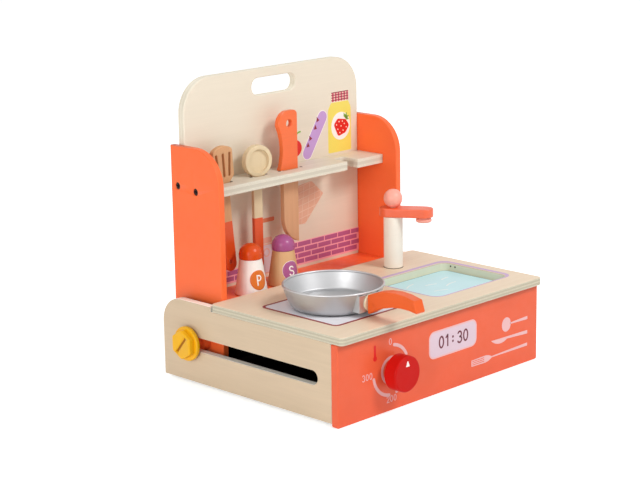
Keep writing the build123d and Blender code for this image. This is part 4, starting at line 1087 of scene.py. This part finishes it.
def pan_grip(paint):
    """Arched wooden grip: an arc over it and one under it, each through three heights."""
    low, _ = span("pan_body")
    axis = middle("pan_body")
    way = middle("pan_grip") - axis
    place = moved(flat_xz, (axis[0], axis[1], low[2]), math.degrees(math.atan2(way[1], way[0])))
    halfway = (GRIP_ROOT + GRIP_TIP) / 2
    top = through((GRIP_ROOT, 21.3), (halfway, 29.3), (GRIP_TIP - 4.4, 26.0))
    under = through((GRIP_TIP, 13.8), (halfway, 14.6), (GRIP_ROOT, 1.8))
    outline = rounded(np.concatenate([top, under]), corner_radii(top, under, 1.5))
    grip = slab([outline], -GRIP_HALF, GRIP_HALF, 1.4, place)
    piece("pan_handle", [grip], paint, "pan", ["pan_grip"])


class KITCHEN_OT_pan(Piece, bpy.types.Operator):
    """Frying pan: spun steel cup with a rolled rim, and the arched wooden grip"""

    bl_idname = "kitchen.pan"
    bl_label = "Frying pan"

    def build(self):
        paint = made("Grip paint", satin, tint("grip_paint"), 0.4)
        pan_cup()
        pan_grip(paint)
        carried(made("Bright steel", metal, rgba("cbcbc9"), 0.45), "pan_bracket")
        carried(made("Waxed beech washer", timber, rgba("efe0c0"), "X"), "pan_ferrule")
        carried(paint, "pan_grip_pin")


UTENSIL_HALF = 3.0      # half the thickness of the spatula and the knife
HANG_HOLE = 2.5         # radius of the holes at the handles' ends
SEAT = 0.5              # lift that lets the spatula's cheeks and the spoon's bowl rest on the slots' ends
SLIT_HALF = 10.95       # half the length between the centres of a slit's ends
SLIT_RADIUS = 1.3
SLIT_PITCH = 8.0
SLIT_SPLAY = 6.0        # turn of each outer slit, in degrees
SPATULA_LEAN = -4.0
SPOON_AZIMUTH = -10.0
BOWL_RADIUS = 16.3
BOWL_SEAT = 6.8         # half the width of the spoon's slot, which the bowl rests in
STICK_HALF = 5.3        # half the width of the spoon's handle
STICK_END = -97.5


def spatula():
    """Blade with three splayed slits, cheeks that rest on the shelf, a thin neck and a round end."""
    x, row, deck = hanging("spatula")
    shoulder, end_half, end_level = (13.0, 32.56), 7.2, -85.3
    right = [shoulder, (13.2, 5.0), (5.7, -2.0), (5.7, -40.0), (end_half, end_level)]
    left = [(-u, w) for u, w in right[:0:-1]]
    end = arc((0, end_level), end_half, 0, -180)[1:-1]
    crown = through((-shoulder[0], shoulder[1]), (0, 37.0), shoulder)[:-1]
    corners = np.concatenate([right, end, left, crown])
    radii = [4.5] * 3 + [0] * (len(end) + 4) + [4.5] * 3 + [0] * (len(crown) - 1)
    pen = stadium(-SLIT_HALF, SLIT_HALF, 0, SLIT_RADIUS)
    slits = [about(pen, (SLIT_PITCH * k, 17.25), 90 - SLIT_SPLAY * k) for k in (-1, 0, 1)]
    outlines = [rounded(corners, radii), *slits, circle(0, -82.4, HANG_HOLE)]
    place = moved(flat_xz, (x, row, deck + SEAT), 0, SPATULA_LEAN)
    shape = slab(outlines, -UTENSIL_HALF, UTENSIL_HALF, 0.9, place)
    wood = made("Spatula beech", timber, rgba("d6a171"), dip=tint("dip_paint"), dip_at=155.0)
    piece("spatula_board", [shape], wood, "spatula", ["spatula"])


def spoon():
    """Flat handle, and a turned dish with a raised rim whose axis looks toward the front."""
    x, row, deck = hanging("spoon")
    bowl = math.sqrt(BOWL_RADIUS**2 - BOWL_SEAT**2)
    place = moved(flat_xz, (x, row, deck + SEAT), SPOON_AZIMUTH)
    top = bowl - 13.5
    corners = [(-STICK_HALF, STICK_END), (STICK_HALF, STICK_END), (STICK_HALF, top), (-STICK_HALF, top)]
    stick = rounded(corners, [4.6, 4.6, 1, 1])
    shape = slab([stick, circle(0, -90.1, HANG_HOLE)], -1.0, 4.0, 0.8, place)
    hollow = [arc((11.2, -1.8), 0.8, 90, 0), arc((12.3, -3.7), 0.3, 180, 270)]
    rim = [arc((15.2, -2.9), 1.1, -90, 0), arc((15.1, 2.8), 1.2, 0, 90)]
    profile = np.concatenate([[(0, -1.0)], *hollow, *rim, [(0, 4.0)]])
    dish = lathe(profile, moved(flat_xz, (x, row, deck + SEAT + bowl), SPOON_AZIMUTH))
    wood = made("Spoon beech", timber, rgba("e0caa4"), contrast=0.03, dip=tint("dip_paint"), dip_at=151.0)
    piece("spoon_board", [shape, dish], wood, "spoon", ["spoon"])


def knife():
    """Waved handle above the shelf, a straight back and an edge that curves up to the point below."""
    x, row, deck = hanging("knife")
    belly = through((-16.5, 46.0), (-10.7, 26.0), (-14.9, 0.0))
    edge = through((-10.5, -50.0), (-4.725, -68.5), (10.5, -78.0))
    corners = np.concatenate([[(10.5, 61.0), (-16.5, 61.0)], belly, [(-10.5, 0.0)], edge])
    radii = [5.0, 14.25] + [0.0] * (len(belly) + 1 + len(edge))
    seat = deck + 0.2
    outlines = [rounded(corners, radii), circle(-1.0, 47.7, 4.0)]
    shape = slab(outlines, -UTENSIL_HALF, UTENSIL_HALF, 0.9, moved(flat_xz, (x, row, seat)))
    wood = made("Knife beech", timber, rgba("d6a077"), dip=rgba("ef6b31"), dip_at=seat, dip_below=False)
    piece("knife_board", [shape], wood, "knife", ["knife"])


class KITCHEN_OT_utensils(Piece, bpy.types.Operator):
    """Slotted spatula, dished spoon and knife that hang in the shelf, with handles dipped in paint"""

    bl_idname = "kitchen.utensils"
    bl_label = "Utensils"

    def build(self):
        spatula()
        spoon()
        knife()


# ----------------------------------------------------------------------------- shakers
BADGE_AZIMUTH = -100.0
BADGE_HEIGHT = 16.3     # middle of the badge over the shaker's foot
BADGE_RADII = (9.6, 10.0)
BADGE_BORDER = 0.3      # white line round the badge
BADGE_SINK = -0.3       # depth of the badge's films in the wood, as their facets cut across the cone
BADGE_RINGS = 8
SHAKER_NECK = 11.3
DOME_SHOULDER = 5.0     # height at which the cap's dome begins


def domed(outline, low, high, place):
    """Thin disc on a bent surface: on both faces the outline shrinks to its middle in even rings."""
    outline = facing(outline, False)
    centre = outline.mean(axis=0)
    shares = np.linspace(0, 1, BADGE_RINGS + 1)
    scale = np.concatenate([shares, shares[::-1]])
    level = np.repeat([low, high], len(shares))
    grid = centre + (outline - centre)[None] * scale[:, None, None]
    height = np.broadcast_to(level[:, None], grid.shape[:2])
    return place(grid[..., 0], grid[..., 1], height).reshape(-1, 3), ring_faces(len(scale), len(outline))


def cone_place(axis, foot, azimuth, base_radius, top_radius, height):
    """Wraps a flat drawing on a cone: u runs round it, v up it, and w out of it."""

    def place(u, v, w):
        reach = base_radius + (top_radius - base_radius) * v / height + w
        angle = math.radians(azimuth) + u / reach
        return np.stack([axis[0] + reach * np.cos(angle), axis[1] + reach * np.sin(angle), foot + v], -1)

    return place


def shaker_body(name, material):
    """Turned cone with a small round at its foot."""
    low, high = span(name + "_body")
    foot, tall = (high[0] - low[0]) / 2, high[2] - low[2]
    rim = [(foot - 1, 0), (foot - 0.3, 0.3), (foot - 0.05, 1.1)]
    cone = lathe([(0, 0), *rim, (SHAKER_NECK, tall), (0, tall)], upright(name + "_body", low[2]))
    piece(name + "_cone", [cone], material, name, [name + "_body"])


def shaker_cap(name, paint):
    """Turned cap: a soft lower rim and a dome."""
    low, high = span(name + "_cap")
    radius = (high[0] - low[0]) / 2
    dome = arc((0, DOME_SHOULDER), (radius, high[2] - low[2] - DOME_SHOULDER), 0, 90)
    profile = np.concatenate([[(0, 0)], arc((radius - 1.6, 1.6), 1.6, -90, 0), dome])
    profile[-1, 0] = 0
    axis = middle(name + "_body")
    cap = lathe(profile, moved(flat_xy, (axis[0], axis[1], low[2])))
    piece(name + "_dome", [cap], paint, name, [name + "_cap"])


def shaker_badge(name, letter, colour_value):
    """Round badge wrapped on the cone: a white border, the coloured disc, and the letter on top."""
    low, high = span(name + "_body")
    foot, tall = (high[0] - low[0]) / 2, high[2] - low[2]
    wrap = cone_place(middle(name + "_body"), low[2], BADGE_AZIMUTH, foot, SHAKER_NECK, tall)
    border = circle(0, BADGE_HEIGHT, np.array(BADGE_RADII) + BADGE_BORDER)
    disc = circle(0, BADGE_HEIGHT, BADGE_RADII)
    shapes = [domed(border, BADGE_SINK, PRINT_LIFT, wrap), domed(disc, BADGE_SINK, 2 * PRINT_LIFT, wrap)]
    for stroke in written(letter, (-2.9, BADGE_HEIGHT - 4.9), 9.8, 1.45):
        shapes.append(slab(stroke, BADGE_SINK, 3 * PRINT_LIFT, 0, wrap))
    white = inked("White ink", "fff4ee")
    badge = made(name + " badge ink", ink, colour_value, 0.4)
    piece(name + "_badge", shapes, [white, badge, white], name)


class KITCHEN_OT_shakers(Piece, bpy.types.Operator):
    """Pepper and salt shakers: turned cones with domed caps and a lettered badge"""

    bl_idname = "kitchen.shakers"
    bl_label = "Shakers"

    def build(self):
        white = made("White paint", satin, rgba("f7f1ea"), 0.36)
        bare = made("Bare maple", timber, rgba("d9aa78"), contrast=0.05)
        orange, purple = tint("shaker_orange"), tint("shaker_purple")
        for name, letter, body, body_slot, cap, cap_slot, badge in (
            ("pepper", "P", white, "pepper_white", orange, "pepper_orange", rgba("e0741f")),
            ("salt", "S", bare, "salt_wood", purple, "salt_purple", purple),
        ):
            paint = made(name + " cap paint", satin, cap, 0.25, 0.04, 0.25, shine=0.15)
            shaker_body(name, body)
            shaker_cap(name, paint)
            shaker_badge(name, letter, badge)


# ------------------------------------------------------------------------------ prints
def glyph(letter):
    """Pen paths of a letter in a box 0.6 wide and 1 high, and whether they close."""
    if letter == "0":
        return [arc((0.3, 0.5), (0.25, 0.46), 90, 450)[:-1]], True
    if letter == ":":
        return [circle(0.3, level, 0.05) for level in (0.3, 0.7)], True
    if letter == "1":
        paths = [dense([(0.14, 0.78), (0.34, 0.96)], 0.05), dense([(0.34, 0.94), (0.34, 0.05)], 0.1)]
    elif letter == "2":
        bow = [arc((0.3, 0.7), (0.24, 0.26), 165, -35), dense([(0.08, 0.06), (0.07, 0.05)], 0.1)]
        paths = [np.concatenate(bow), dense([(0.06, 0.04), (0.56, 0.04)], 0.1)]
    elif letter == "3":
        paths = [arc((0.28, 0.73), (0.22, 0.23), 150, -80), arc((0.28, 0.28), (0.25, 0.25), 85, -150)]
    elif letter == "P":
        head, foot = dense([(0.12, 0.96), (0.3, 0.96)], 0.05), dense([(0.28, 0.46), (0.12, 0.46)], 0.05)
        bowl = np.concatenate([head, arc((0.3, 0.71), (0.24, 0.25), 85, -85), foot])
        paths = [dense([(0.12, 0.0), (0.12, 0.98)], 0.1), bowl]
    elif letter == "S":
        bows = [arc((0.31, 0.74), (0.23, 0.22), 30, 265), arc((0.3, 0.27), (0.25, 0.25), 85, -155)]
        paths = [np.concatenate(bows)]
    return paths, False


def written(text, corner, height, weight, pitch=0.72):
    """Outlines of a line of text: each letter's pen paths as ribbons of the given width."""
    outlines = []
    for k, letter in enumerate(text):
        paths, closed = glyph(letter)
        for path in paths:
            points = np.asarray(corner) + (path + [k * pitch, 0]) * height
            outlines.append(ribbon(points, weight, closed))
    return outlines


def films(name, drawings, place, body):
    """One object of ink films. Each drawing is (loops, material, layer), and a higher layer lies on top."""
    shapes = [slab(loops, -0.05, PRINT_LIFT * layer, 0, place) for loops, _, layer in drawings]
    return piece(name, shapes, [look for _, look, _ in drawings], body, smooth=False)


def clock(pale):
    """Lilac display in a pale frame, with the time in thin figures."""
    lilac = made("Lilac ink", ink, tint("print_lilac"))
    maroon = made("Maroon ink", ink, tint("print_maroon"))
    frame_line, display = framed(-21, 50.3, 36.8, 64.4, 1.6, 7.5, 6)
    figures = written("01", (-6.6, 45.6), 12.0, 1.8, 0.74)
    figures += written(":", (10.8, 45.8), 11.0, 1.4)
    figures += written("30", (20.8, 45.0), 12.0, 1.8, 0.74)
    return [([frame_line], pale, 1), ([display], lilac, 2)] + [(stroke, maroon, 3) for stroke in figures]


def dial_scale(pale):
    """Ring round the dial, the three arcs of the scale and its figures, and a thermometer."""
    hub = middle("dial_knob")[[0, 2]]
    draw = [([circle(*hub, 13.9), circle(*hub, 10.9)], pale, 1)]
    draw += [(ribbon(arc(hub, 24.3, *ends), 3.2), pale, 1) for ends in ((79, 27), (-9, -72), (-97, -170))]
    places = {"0": (-77.8, 65.4), "100": (-57.0, 37.4), "200": (-81.6, 9.0), "300": (-114.9, 37.6)}
    for text, corner in places.items():
        draw += [(stroke, pale, 1) for stroke in written(text, corner, 6.3, 0.75, 0.78)]
    red = inked("Red ink", "e01c18")
    x = -97.3
    draw.append((ribbon([(x, 55.5), (x, 62.0), (x, 68.0)], 3.0), red, 1))
    return draw + [([circle(x, 56.4, 2.5)], red, 2)]


def cutlery(pale):
    """Signs of a spoon, a knife and a three-tined fork, whose handles end on one upright line."""
    end = 131.0
    bowl = circle(97.0, 47.6, (7.0, 7.4))
    stick = rounded([(103, 46.9), (end, 46.0), (end, 49.4), (103, 48.3)], 0.4)
    grip = [(98, 32.6), (end, 30.8), (end, 34.4), (97, 34.9)]
    blade = np.concatenate([through((73.2, 35.4), (84, 30.2), (95, 31.2)), grip])
    shoulder = [through((62, 15.2), (69, 16.0), (74, 18.4)), through((74, 19.6), (69, 21.8), (62, 22.5))]
    tail = [(end, 17.9), (end, 21.1), (74, 19.6)]
    fork = np.concatenate([[(42.6, 15.7), (62, 15.2)], shoulder[0], tail, shoulder[1], [(42.6, 22.0)]])
    gaps = [rectangle(43.8, 62.5, level, level + 0.8, 0.3) for level in (16.7, 18.5, 20.3)]
    return [(loops, pale, 1) for loops in ([bowl], [stick], [blade], [fork, *gaps])]


class KITCHEN_OT_front_prints(Piece, bpy.types.Operator):
    """Front panel prints: clock display, temperature scale, thermometer and cutlery signs"""

    bl_idname = "kitchen.front_prints"
    bl_label = "Front prints"

    def build(self):
        pale = made("Pale pink ink", ink, tint("print_pale"))
        draw = clock(pale) + dial_scale(pale) + cutlery(pale)
        films("front_print", draw, on_front(span("front_panel")[0][1]), "base")


FOAM_RADIUS = 30
# middle of each stroke of foam, half the angle it spans on that radius, and its turn
FOAM = (
    ((52, -28), 16, 20),
    ((72, -40), 12, -15),
    ((88, -52), 18, 12),
    ((62, -62), 14, -20),
    ((100, -34), 12, 10),
)


def water_print():
    """Water on the sink board: a darker line round it and short bent strokes of foam."""
    water = made("Water ink", ink, tint("water"), 0.35)
    foam, line = inked("Foam ink", "f1fbfa"), inked("Teal ink", "8fa9b0")
    pool = plan("sink_board", 8, SINK_LAP + 3)
    draw = [([plan("sink_board", 8.6, SINK_LAP + 2.2), pool], line, 2), ([pool], water, 1)]
    for spot, reach, bend in FOAM:
        bow = about(arc((0, -FOAM_RADIUS), FOAM_RADIUS, 90 - reach, 90 + reach), spot, bend)
        draw.append((ribbon(bow, 1.5), foam, 2))
    return draw


class KITCHEN_OT_worktop_prints(Piece, bpy.types.Operator):
    """Worktop prints: the hob under the pan, the sink's painted rim, and the water"""

    bl_idname = "kitchen.worktop_prints"
    bl_label = "Worktop prints"

    def build(self):
        deck = on_top(span("worktop")[1][2])
        maroon, blush = inked("Dark red ink", "8c1620"), inked("Cool white ink", "ecebf0")
        outer, inner = framed(-122.8, -22.2, -94.0, 9.4, 2.6, 7.0, 5.2)
        films("hob_print", [([outer, inner], maroon, 2), ([inner], blush, 1)], deck, "base")
        low, high = span("sink_board")
        near, far = 2.4 - SINK_LAP, 5.4 - SINK_LAP
        rim = rectangle(low[0] - near, high[0] + far, low[1] - near, high[1] + far + 0.4, 12)
        rim = [rim, plan("sink_board", 10.9, SINK_LAP - 0.9)]
        films("sink_rim_print", [(rim, inked("Violet ink", "c9a9cf"), 1)], deck, "base")
        films("water_print", water_print(), on_top(high[2]), "base")


def rows_of_bricks(x0, x1, z0, z1, rows, pitch, joint):
    """Rounded bricks in a running bond, cut off at the band's ends."""
    height = (z1 - z0) / rows
    half = joint / 2
    bricks = []
    for row in range(rows):
        start = x0 - (row % 2) * pitch / 2
        foot = z0 + row * height
        for k in range(int((x1 - start) / pitch) + 1):
            left = max(start + k * pitch + half, x0)
            right = min(start + (k + 1) * pitch - half, x1)
            if right - left > 2:
                bricks.append(rectangle(left, right, foot + half, foot + height - half, 0.4))
    return bricks


STOVE_LEFT = -40.0      # ends of the pale printed panel, which parts the bricks
STOVE_RIGHT = 3.2
BAND_FOOT = 83.6
BAND_TOP = 109.6        # four rows high at its right
BAND_STEP = 97.7        # and two at its left


def splashback():
    """Brick band on pale joints, and a pale panel with two rings behind the shakers, and two bars."""
    low, high = span("hutch_back")
    left, right = low[0] + 0.2, high[0] - 0.2
    brick_ink, grout = inked("Brick ink", "b46291"), inked("Grout ink", "f6b0be")
    draw = [([rectangle(left, STOVE_LEFT, BAND_FOOT, BAND_STEP, 0.1)], grout, 1)]
    draw.append(([rectangle(STOVE_RIGHT, right, BAND_FOOT, BAND_TOP, 0.1)], grout, 1))
    for brick in rows_of_bricks(left, right, BAND_FOOT + 1.2, BAND_TOP - 0.2, 4, 20.4, 1.5):
        right_of_panel = brick[:, 0].min() > STOVE_RIGHT
        left_of_panel = brick[:, 0].max() < STOVE_LEFT and brick[:, 1].max() < BAND_STEP
        if right_of_panel or left_of_panel:
            draw.append(([brick], brick_ink, 2))
    lilac, blush = inked("Faint lilac ink", "dccbd0"), inked("Blush ink", "e8b09c")
    border, panel = framed(STOVE_LEFT, STOVE_RIGHT, 84, 115.6, 1.2, 3, 2)
    draw += [([border, panel], blush, 1), ([panel], lilac, 1)]
    draw += [([circle(x, 106.4, (4.4, 4.6)), circle(x, 106.4, (3.4, 3.6))], blush, 2) for x in (-31, -16)]
    draw.append(([rectangle(-30, -8, 116.4, 122.4, 2)], blush, 1))
    draw.append(([rectangle(-31, -4, 138.8, 143.2, 1.5)], inked("Burnt orange ink", "e08460"), 1))
    return draw


def jar():
    """Jar with a checked lid, a round label and a strawberry with leaves and seeds."""
    cream, red = inked("Cream ink", "f6ead2"), inked("Tomato ink", "de1a10")
    rose, wine = inked("Rose ink", "d4606e"), inked("Wine ink", "8a1c34")
    green = inked("Leaf ink", "7fae42")
    body = [(78.5, 197.5), (113.5, 197.5), (113.5, 244), (109.5, 251.5), (83.5, 251.5), (78.5, 244)]
    lid = [(83.5, 251.5), (109.5, 251.5), (110.5, 262.8), (82.5, 262.8)]
    draw = [([rounded(body, [1.5, 1.5, 8, 2, 2, 8])], inked("Yellow ink", "f0dc62"), 1)]
    draw.append(([rounded(lid, 1.5)], cream, 2))
    draw += [([rectangle(x, x + 3.0, 252.2, 262.4, 0.2)], rose, 3) for x in np.arange(84.6, 108, 4.4)]
    draw += [([rectangle(83.6, 109.4, z, z + 0.9, 0.2)], wine, 4) for z in (253.4, 256.2, 259.0, 261.6)]
    draw.append(([circle(97.6, 225.2, (14.4, 15.0))], inked("White ink", "fff4ee"), 2))
    berry = [(86.9, 227.5), (93.0, 233.6), (105.5, 231.4), (110.6, 224.6), (104.8, 217.2), (93.6, 214.2)]
    draw.append(([rounded(berry, 3.2)], red, 3))
    leaf = [(0, 0), (1.5, 2.4), (0, 6.4), (-1.5, 2.4)]
    draw += [([about(leaf, (104.5, 233.0), turn)], green, 4) for turn in (20, -25, -70, -110)]
    seeds = [(91, 227), (95, 230), (98, 225), (103, 227), (96, 218)]
    seeds += [(93, 222), (101, 220), (106, 223), (100, 230)]
    return draw + [([circle(x, z, 0.75)], cream, 4) for x, z in seeds]


def bean_pod():
    """Plum pod with a white edge and four dark spikes."""
    line = [(46.8, 202.7), (58.3, 220.4), (69.8, 238.1)]
    draw = [(ribbon(line, 14.8), inked("White ink", "fff4ee"), 1)]
    draw.append((ribbon(line, 13.2), inked("Plum ink", "c49bd2"), 2))
    spike = [(-2.4, -1.6), (2.4, -1.4), (0.2, 3.4)]
    spots = (((62.4, 236.0), 20), ((58.9, 228.0), 0), ((51.2, 217.6), 25), ((47.6, 210.6), 0))
    return draw + [([about(spike, *spot)], inked("Wine ink", "8a1c34"), 3) for spot in spots]


def tomato():
    """Tomato, mostly behind the knife, with a bent stalk."""
    fruit = [circle(27.5, 210.0, (11, 9.4))]
    stalk = ribbon(through((28, 218), (30, 224), (36.5, 227)), 1.8)
    return [(fruit, inked("Tomato ink", "de1a10"), 1), (stalk, inked("Leaf ink", "7fae42"), 2)]


def checked_cloth():
    """Hanging cloth crossed by two sets of parallel threads, each cut where it leaves the cloth."""
    cloth = rounded([(26.0, 169.0), (52.0, 172.0), (69.5, 156.0), (41.5, 127.3), (30.0, 128.0)], 1.0)
    thread = inked("Thread ink", "f0cdb8")
    draw = [([cloth], inked("Check ink", "e6b598"), 1)]
    for turn, pitch, layer in ((84, 8.6, 2), (10, 6.8, 3)):
        along, across = turned(turn)
        for k in range(-4, 5):
            walk = np.array([47.0, 150.0]) + across * k * pitch + along * np.linspace(-34, 34, 137)[:, None]
            walk = walk[inside(walk, [cloth])][1:-1]
            if len(walk) > 4:
                draw.append((ribbon(walk[[0, len(walk) // 2, -1]], 0.7), thread, layer))
    return draw


class KITCHEN_OT_back_prints(Piece, bpy.types.Operator):
    """Back panel prints: a brick splashback and plain kitchen motifs"""

    bl_idname = "kitchen.back_prints"
    bl_label = "Back prints"

    def build(self):
        face = on_front(span("hutch_back")[0][1])
        films("brick_print", splashback(), face, "hutch")
        films("motif_print", jar() + bean_pod() + tomato() + checked_cloth(), face, "hutch")


# ------------------------------------------------------------------------------- stage
CAMERA_YAW = -0.7891
CAMERA_PITCH = 0.2349
CAMERA_ROLL = -0.0163
CAMERA_DISTANCE = 1780.041
CAMERA_TARGET = (-47.6043, 0.0, 142.7824)
FOCAL_PIXELS = 1806.1
IMAGE_WIDTH = 640
SENSOR_WIDTH = 36
SURROUND_LIGHT = 0.49
FLOOR_HALF = 8.0            # in metres
FLOOR_LIFT = 0.52           # light the floor adds only where it is looked at, so that it reads as white
# name, place, width in metres and power in watts
LAMPS = (
    ("Key light", (0.35, -1.35, 1.45), 0.55, 17.2),
    ("Left light", (-1.6, -0.45, 0.45), 0.7, 10),
    ("Rear light", (0.2, 1.4, 1.4), 1.0, 5),
)
LAMP_AIM = (0, 0, 0.1)


def looked_at(tree):
    """1 for a ray from the camera, and for one that shows a place in metal or through glass."""
    ray = add(tree, "ShaderNodeLightPath").outputs
    mirrored = {0: ray["Is Camera Ray"], 1: ray["Is Glossy Ray"]}
    mirrored = add(tree, "ShaderNodeMath", mirrored, operation="MAXIMUM").outputs[0]
    both = {0: mirrored, 1: ray["Is Transmission Ray"]}
    return add(tree, "ShaderNodeMath", both, operation="MAXIMUM").outputs[0]


def studio_floor():
    """Matt floor just under the toy, which keeps its shadow and reads as white."""
    corners = [(x * FLOOR_HALF, y * FLOOR_HALF, -0.0002) for x, y in ((-1, -1), (1, -1), (1, 1), (-1, 1))]
    mesh = bpy.data.meshes.new("studio_floor")
    mesh.from_pydata(corners, [], [(0, 1, 2, 3)])
    floor = bpy.data.objects.new("studio_floor", mesh)
    bpy.context.scene.collection.objects.link(floor)
    material, tree, shader, _ = blank("Studio floor", Roughness=0.9)
    lift = add(tree, "ShaderNodeMath", {0: looked_at(tree), 1: FLOOR_LIFT}, operation="MULTIPLY").outputs[0]
    white, pale = (1, 1, 1, 1), (0.93, 0.93, 0.93, 1)
    fill(tree, shader, {"Base Color": pale, "Emission Color": white, "Emission Strength": lift})
    mesh.materials.append(material)


def surround():
    """Surround that is white where it is looked at and lights the toy more softly."""
    world = bpy.data.worlds.new("Studio")
    bpy.context.scene.world = world
    world.use_nodes = True
    tree = world.node_tree
    tree.nodes.clear()
    white = (1, 1, 1, 1)
    lit, seen = [
        add(tree, "ShaderNodeBackground", {"Color": white, "Strength": strength}).outputs[0]
        for strength in (SURROUND_LIGHT, 1.0)
    ]
    mix = add(tree, "ShaderNodeMixShader", {0: looked_at(tree), 1: lit, 2: seen})
    add(tree, "ShaderNodeOutputWorld", {0: mix.outputs[0]})


def lamps():
    """Square lamps that all look at the toy."""
    for name, spot, width, power in LAMPS:
        light = bpy.data.lights.new(name, "AREA")
        light.shape = "SQUARE"
        light.size = width
        light.energy = power
        lamp = bpy.data.objects.new(name, light)
        lamp.location = spot
        lamp.rotation_euler = (Vector(LAMP_AIM) - Vector(spot)).to_track_quat("-Z", "Y").to_euler()
        bpy.context.scene.collection.objects.link(lamp)


def camera():
    """Camera at the given distance from its target, turned by yaw, pitch and roll in radians."""
    level = math.cos(CAMERA_PITCH)
    back = Vector((math.sin(CAMERA_YAW) * level, -math.cos(CAMERA_YAW) * level, math.sin(CAMERA_PITCH)))
    right = (-back).cross(Vector((0, 0, 1))).normalized()
    up = right.cross(-back)
    c, s = math.cos(CAMERA_ROLL), math.sin(CAMERA_ROLL)
    axes = Matrix((c * right + s * up, c * up - s * right, back)).transposed().to_4x4()
    axes.translation = (Vector(CAMERA_TARGET) + back * CAMERA_DISTANCE) * MM
    lens = bpy.data.cameras.new("Camera")
    lens.sensor_width = SENSOR_WIDTH
    lens.lens = FOCAL_PIXELS * SENSOR_WIDTH / IMAGE_WIDTH
    lens.clip_end = 50
    holder = bpy.data.objects.new("Camera", lens)
    holder.matrix_world = axes
    bpy.context.scene.collection.objects.link(holder)
    bpy.context.scene.camera = holder


class KITCHEN_OT_stage(Piece, bpy.types.Operator):
    """Pale floor, white surround, soft studio lights and the camera"""

    bl_idname = "kitchen.stage"
    bl_label = "Studio"

    def build(self):
        bpy.context.scene.view_settings.view_transform = "Standard"
        studio_floor()
        surround()
        lamps()
        camera()


STEPS = (
    KITCHEN_OT_base,
    KITCHEN_OT_tap,
    KITCHEN_OT_dial,
    KITCHEN_OT_hutch,
    KITCHEN_OT_clamps,
    KITCHEN_OT_pan,
    KITCHEN_OT_utensils,
    KITCHEN_OT_shakers,
    KITCHEN_OT_front_prints,
    KITCHEN_OT_worktop_prints,
    KITCHEN_OT_back_prints,
    KITCHEN_OT_stage,
)


class KITCHEN_PT_sidebar(bpy.types.Panel):
    """Colours, sizes and one button for each group of pieces"""

    bl_idname = "KITCHEN_PT_sidebar"
    bl_label = "Toy kitchen"
    bl_space_type = "VIEW_3D"
    bl_region_type = "UI"
    bl_category = "Toy Kitchen"

    def draw(self, context):
        for settings in (context.scene.kitchen_sizes, context.scene.kitchen_colours):
            column = self.layout.column(align=True)
            for name in settings.bl_rna.properties.keys():
                if name not in {"rna_type", "name"}:
                    column.prop(settings, name)
        for step in STEPS:
            self.layout.operator(step.bl_idname)


CLASSES = (KitchenColours, KitchenSizes, *STEPS, KITCHEN_PT_sidebar)


def register():
    for entry in CLASSES:
        bpy.utils.register_class(entry)
    bpy.types.Scene.kitchen_colours = bpy.props.PointerProperty(type=KitchenColours)
    bpy.types.Scene.kitchen_sizes = bpy.props.PointerProperty(type=KitchenSizes)


def unregister():
    del bpy.types.Scene.kitchen_sizes
    del bpy.types.Scene.kitchen_colours
    for entry in reversed(CLASSES):
        bpy.utils.unregister_class(entry)


def main():
    register()
    for step in STEPS:
        family, verb = step.bl_idname.split(".")
        getattr(getattr(bpy.ops, family), verb)()


if __name__ == "__main__":
    main()
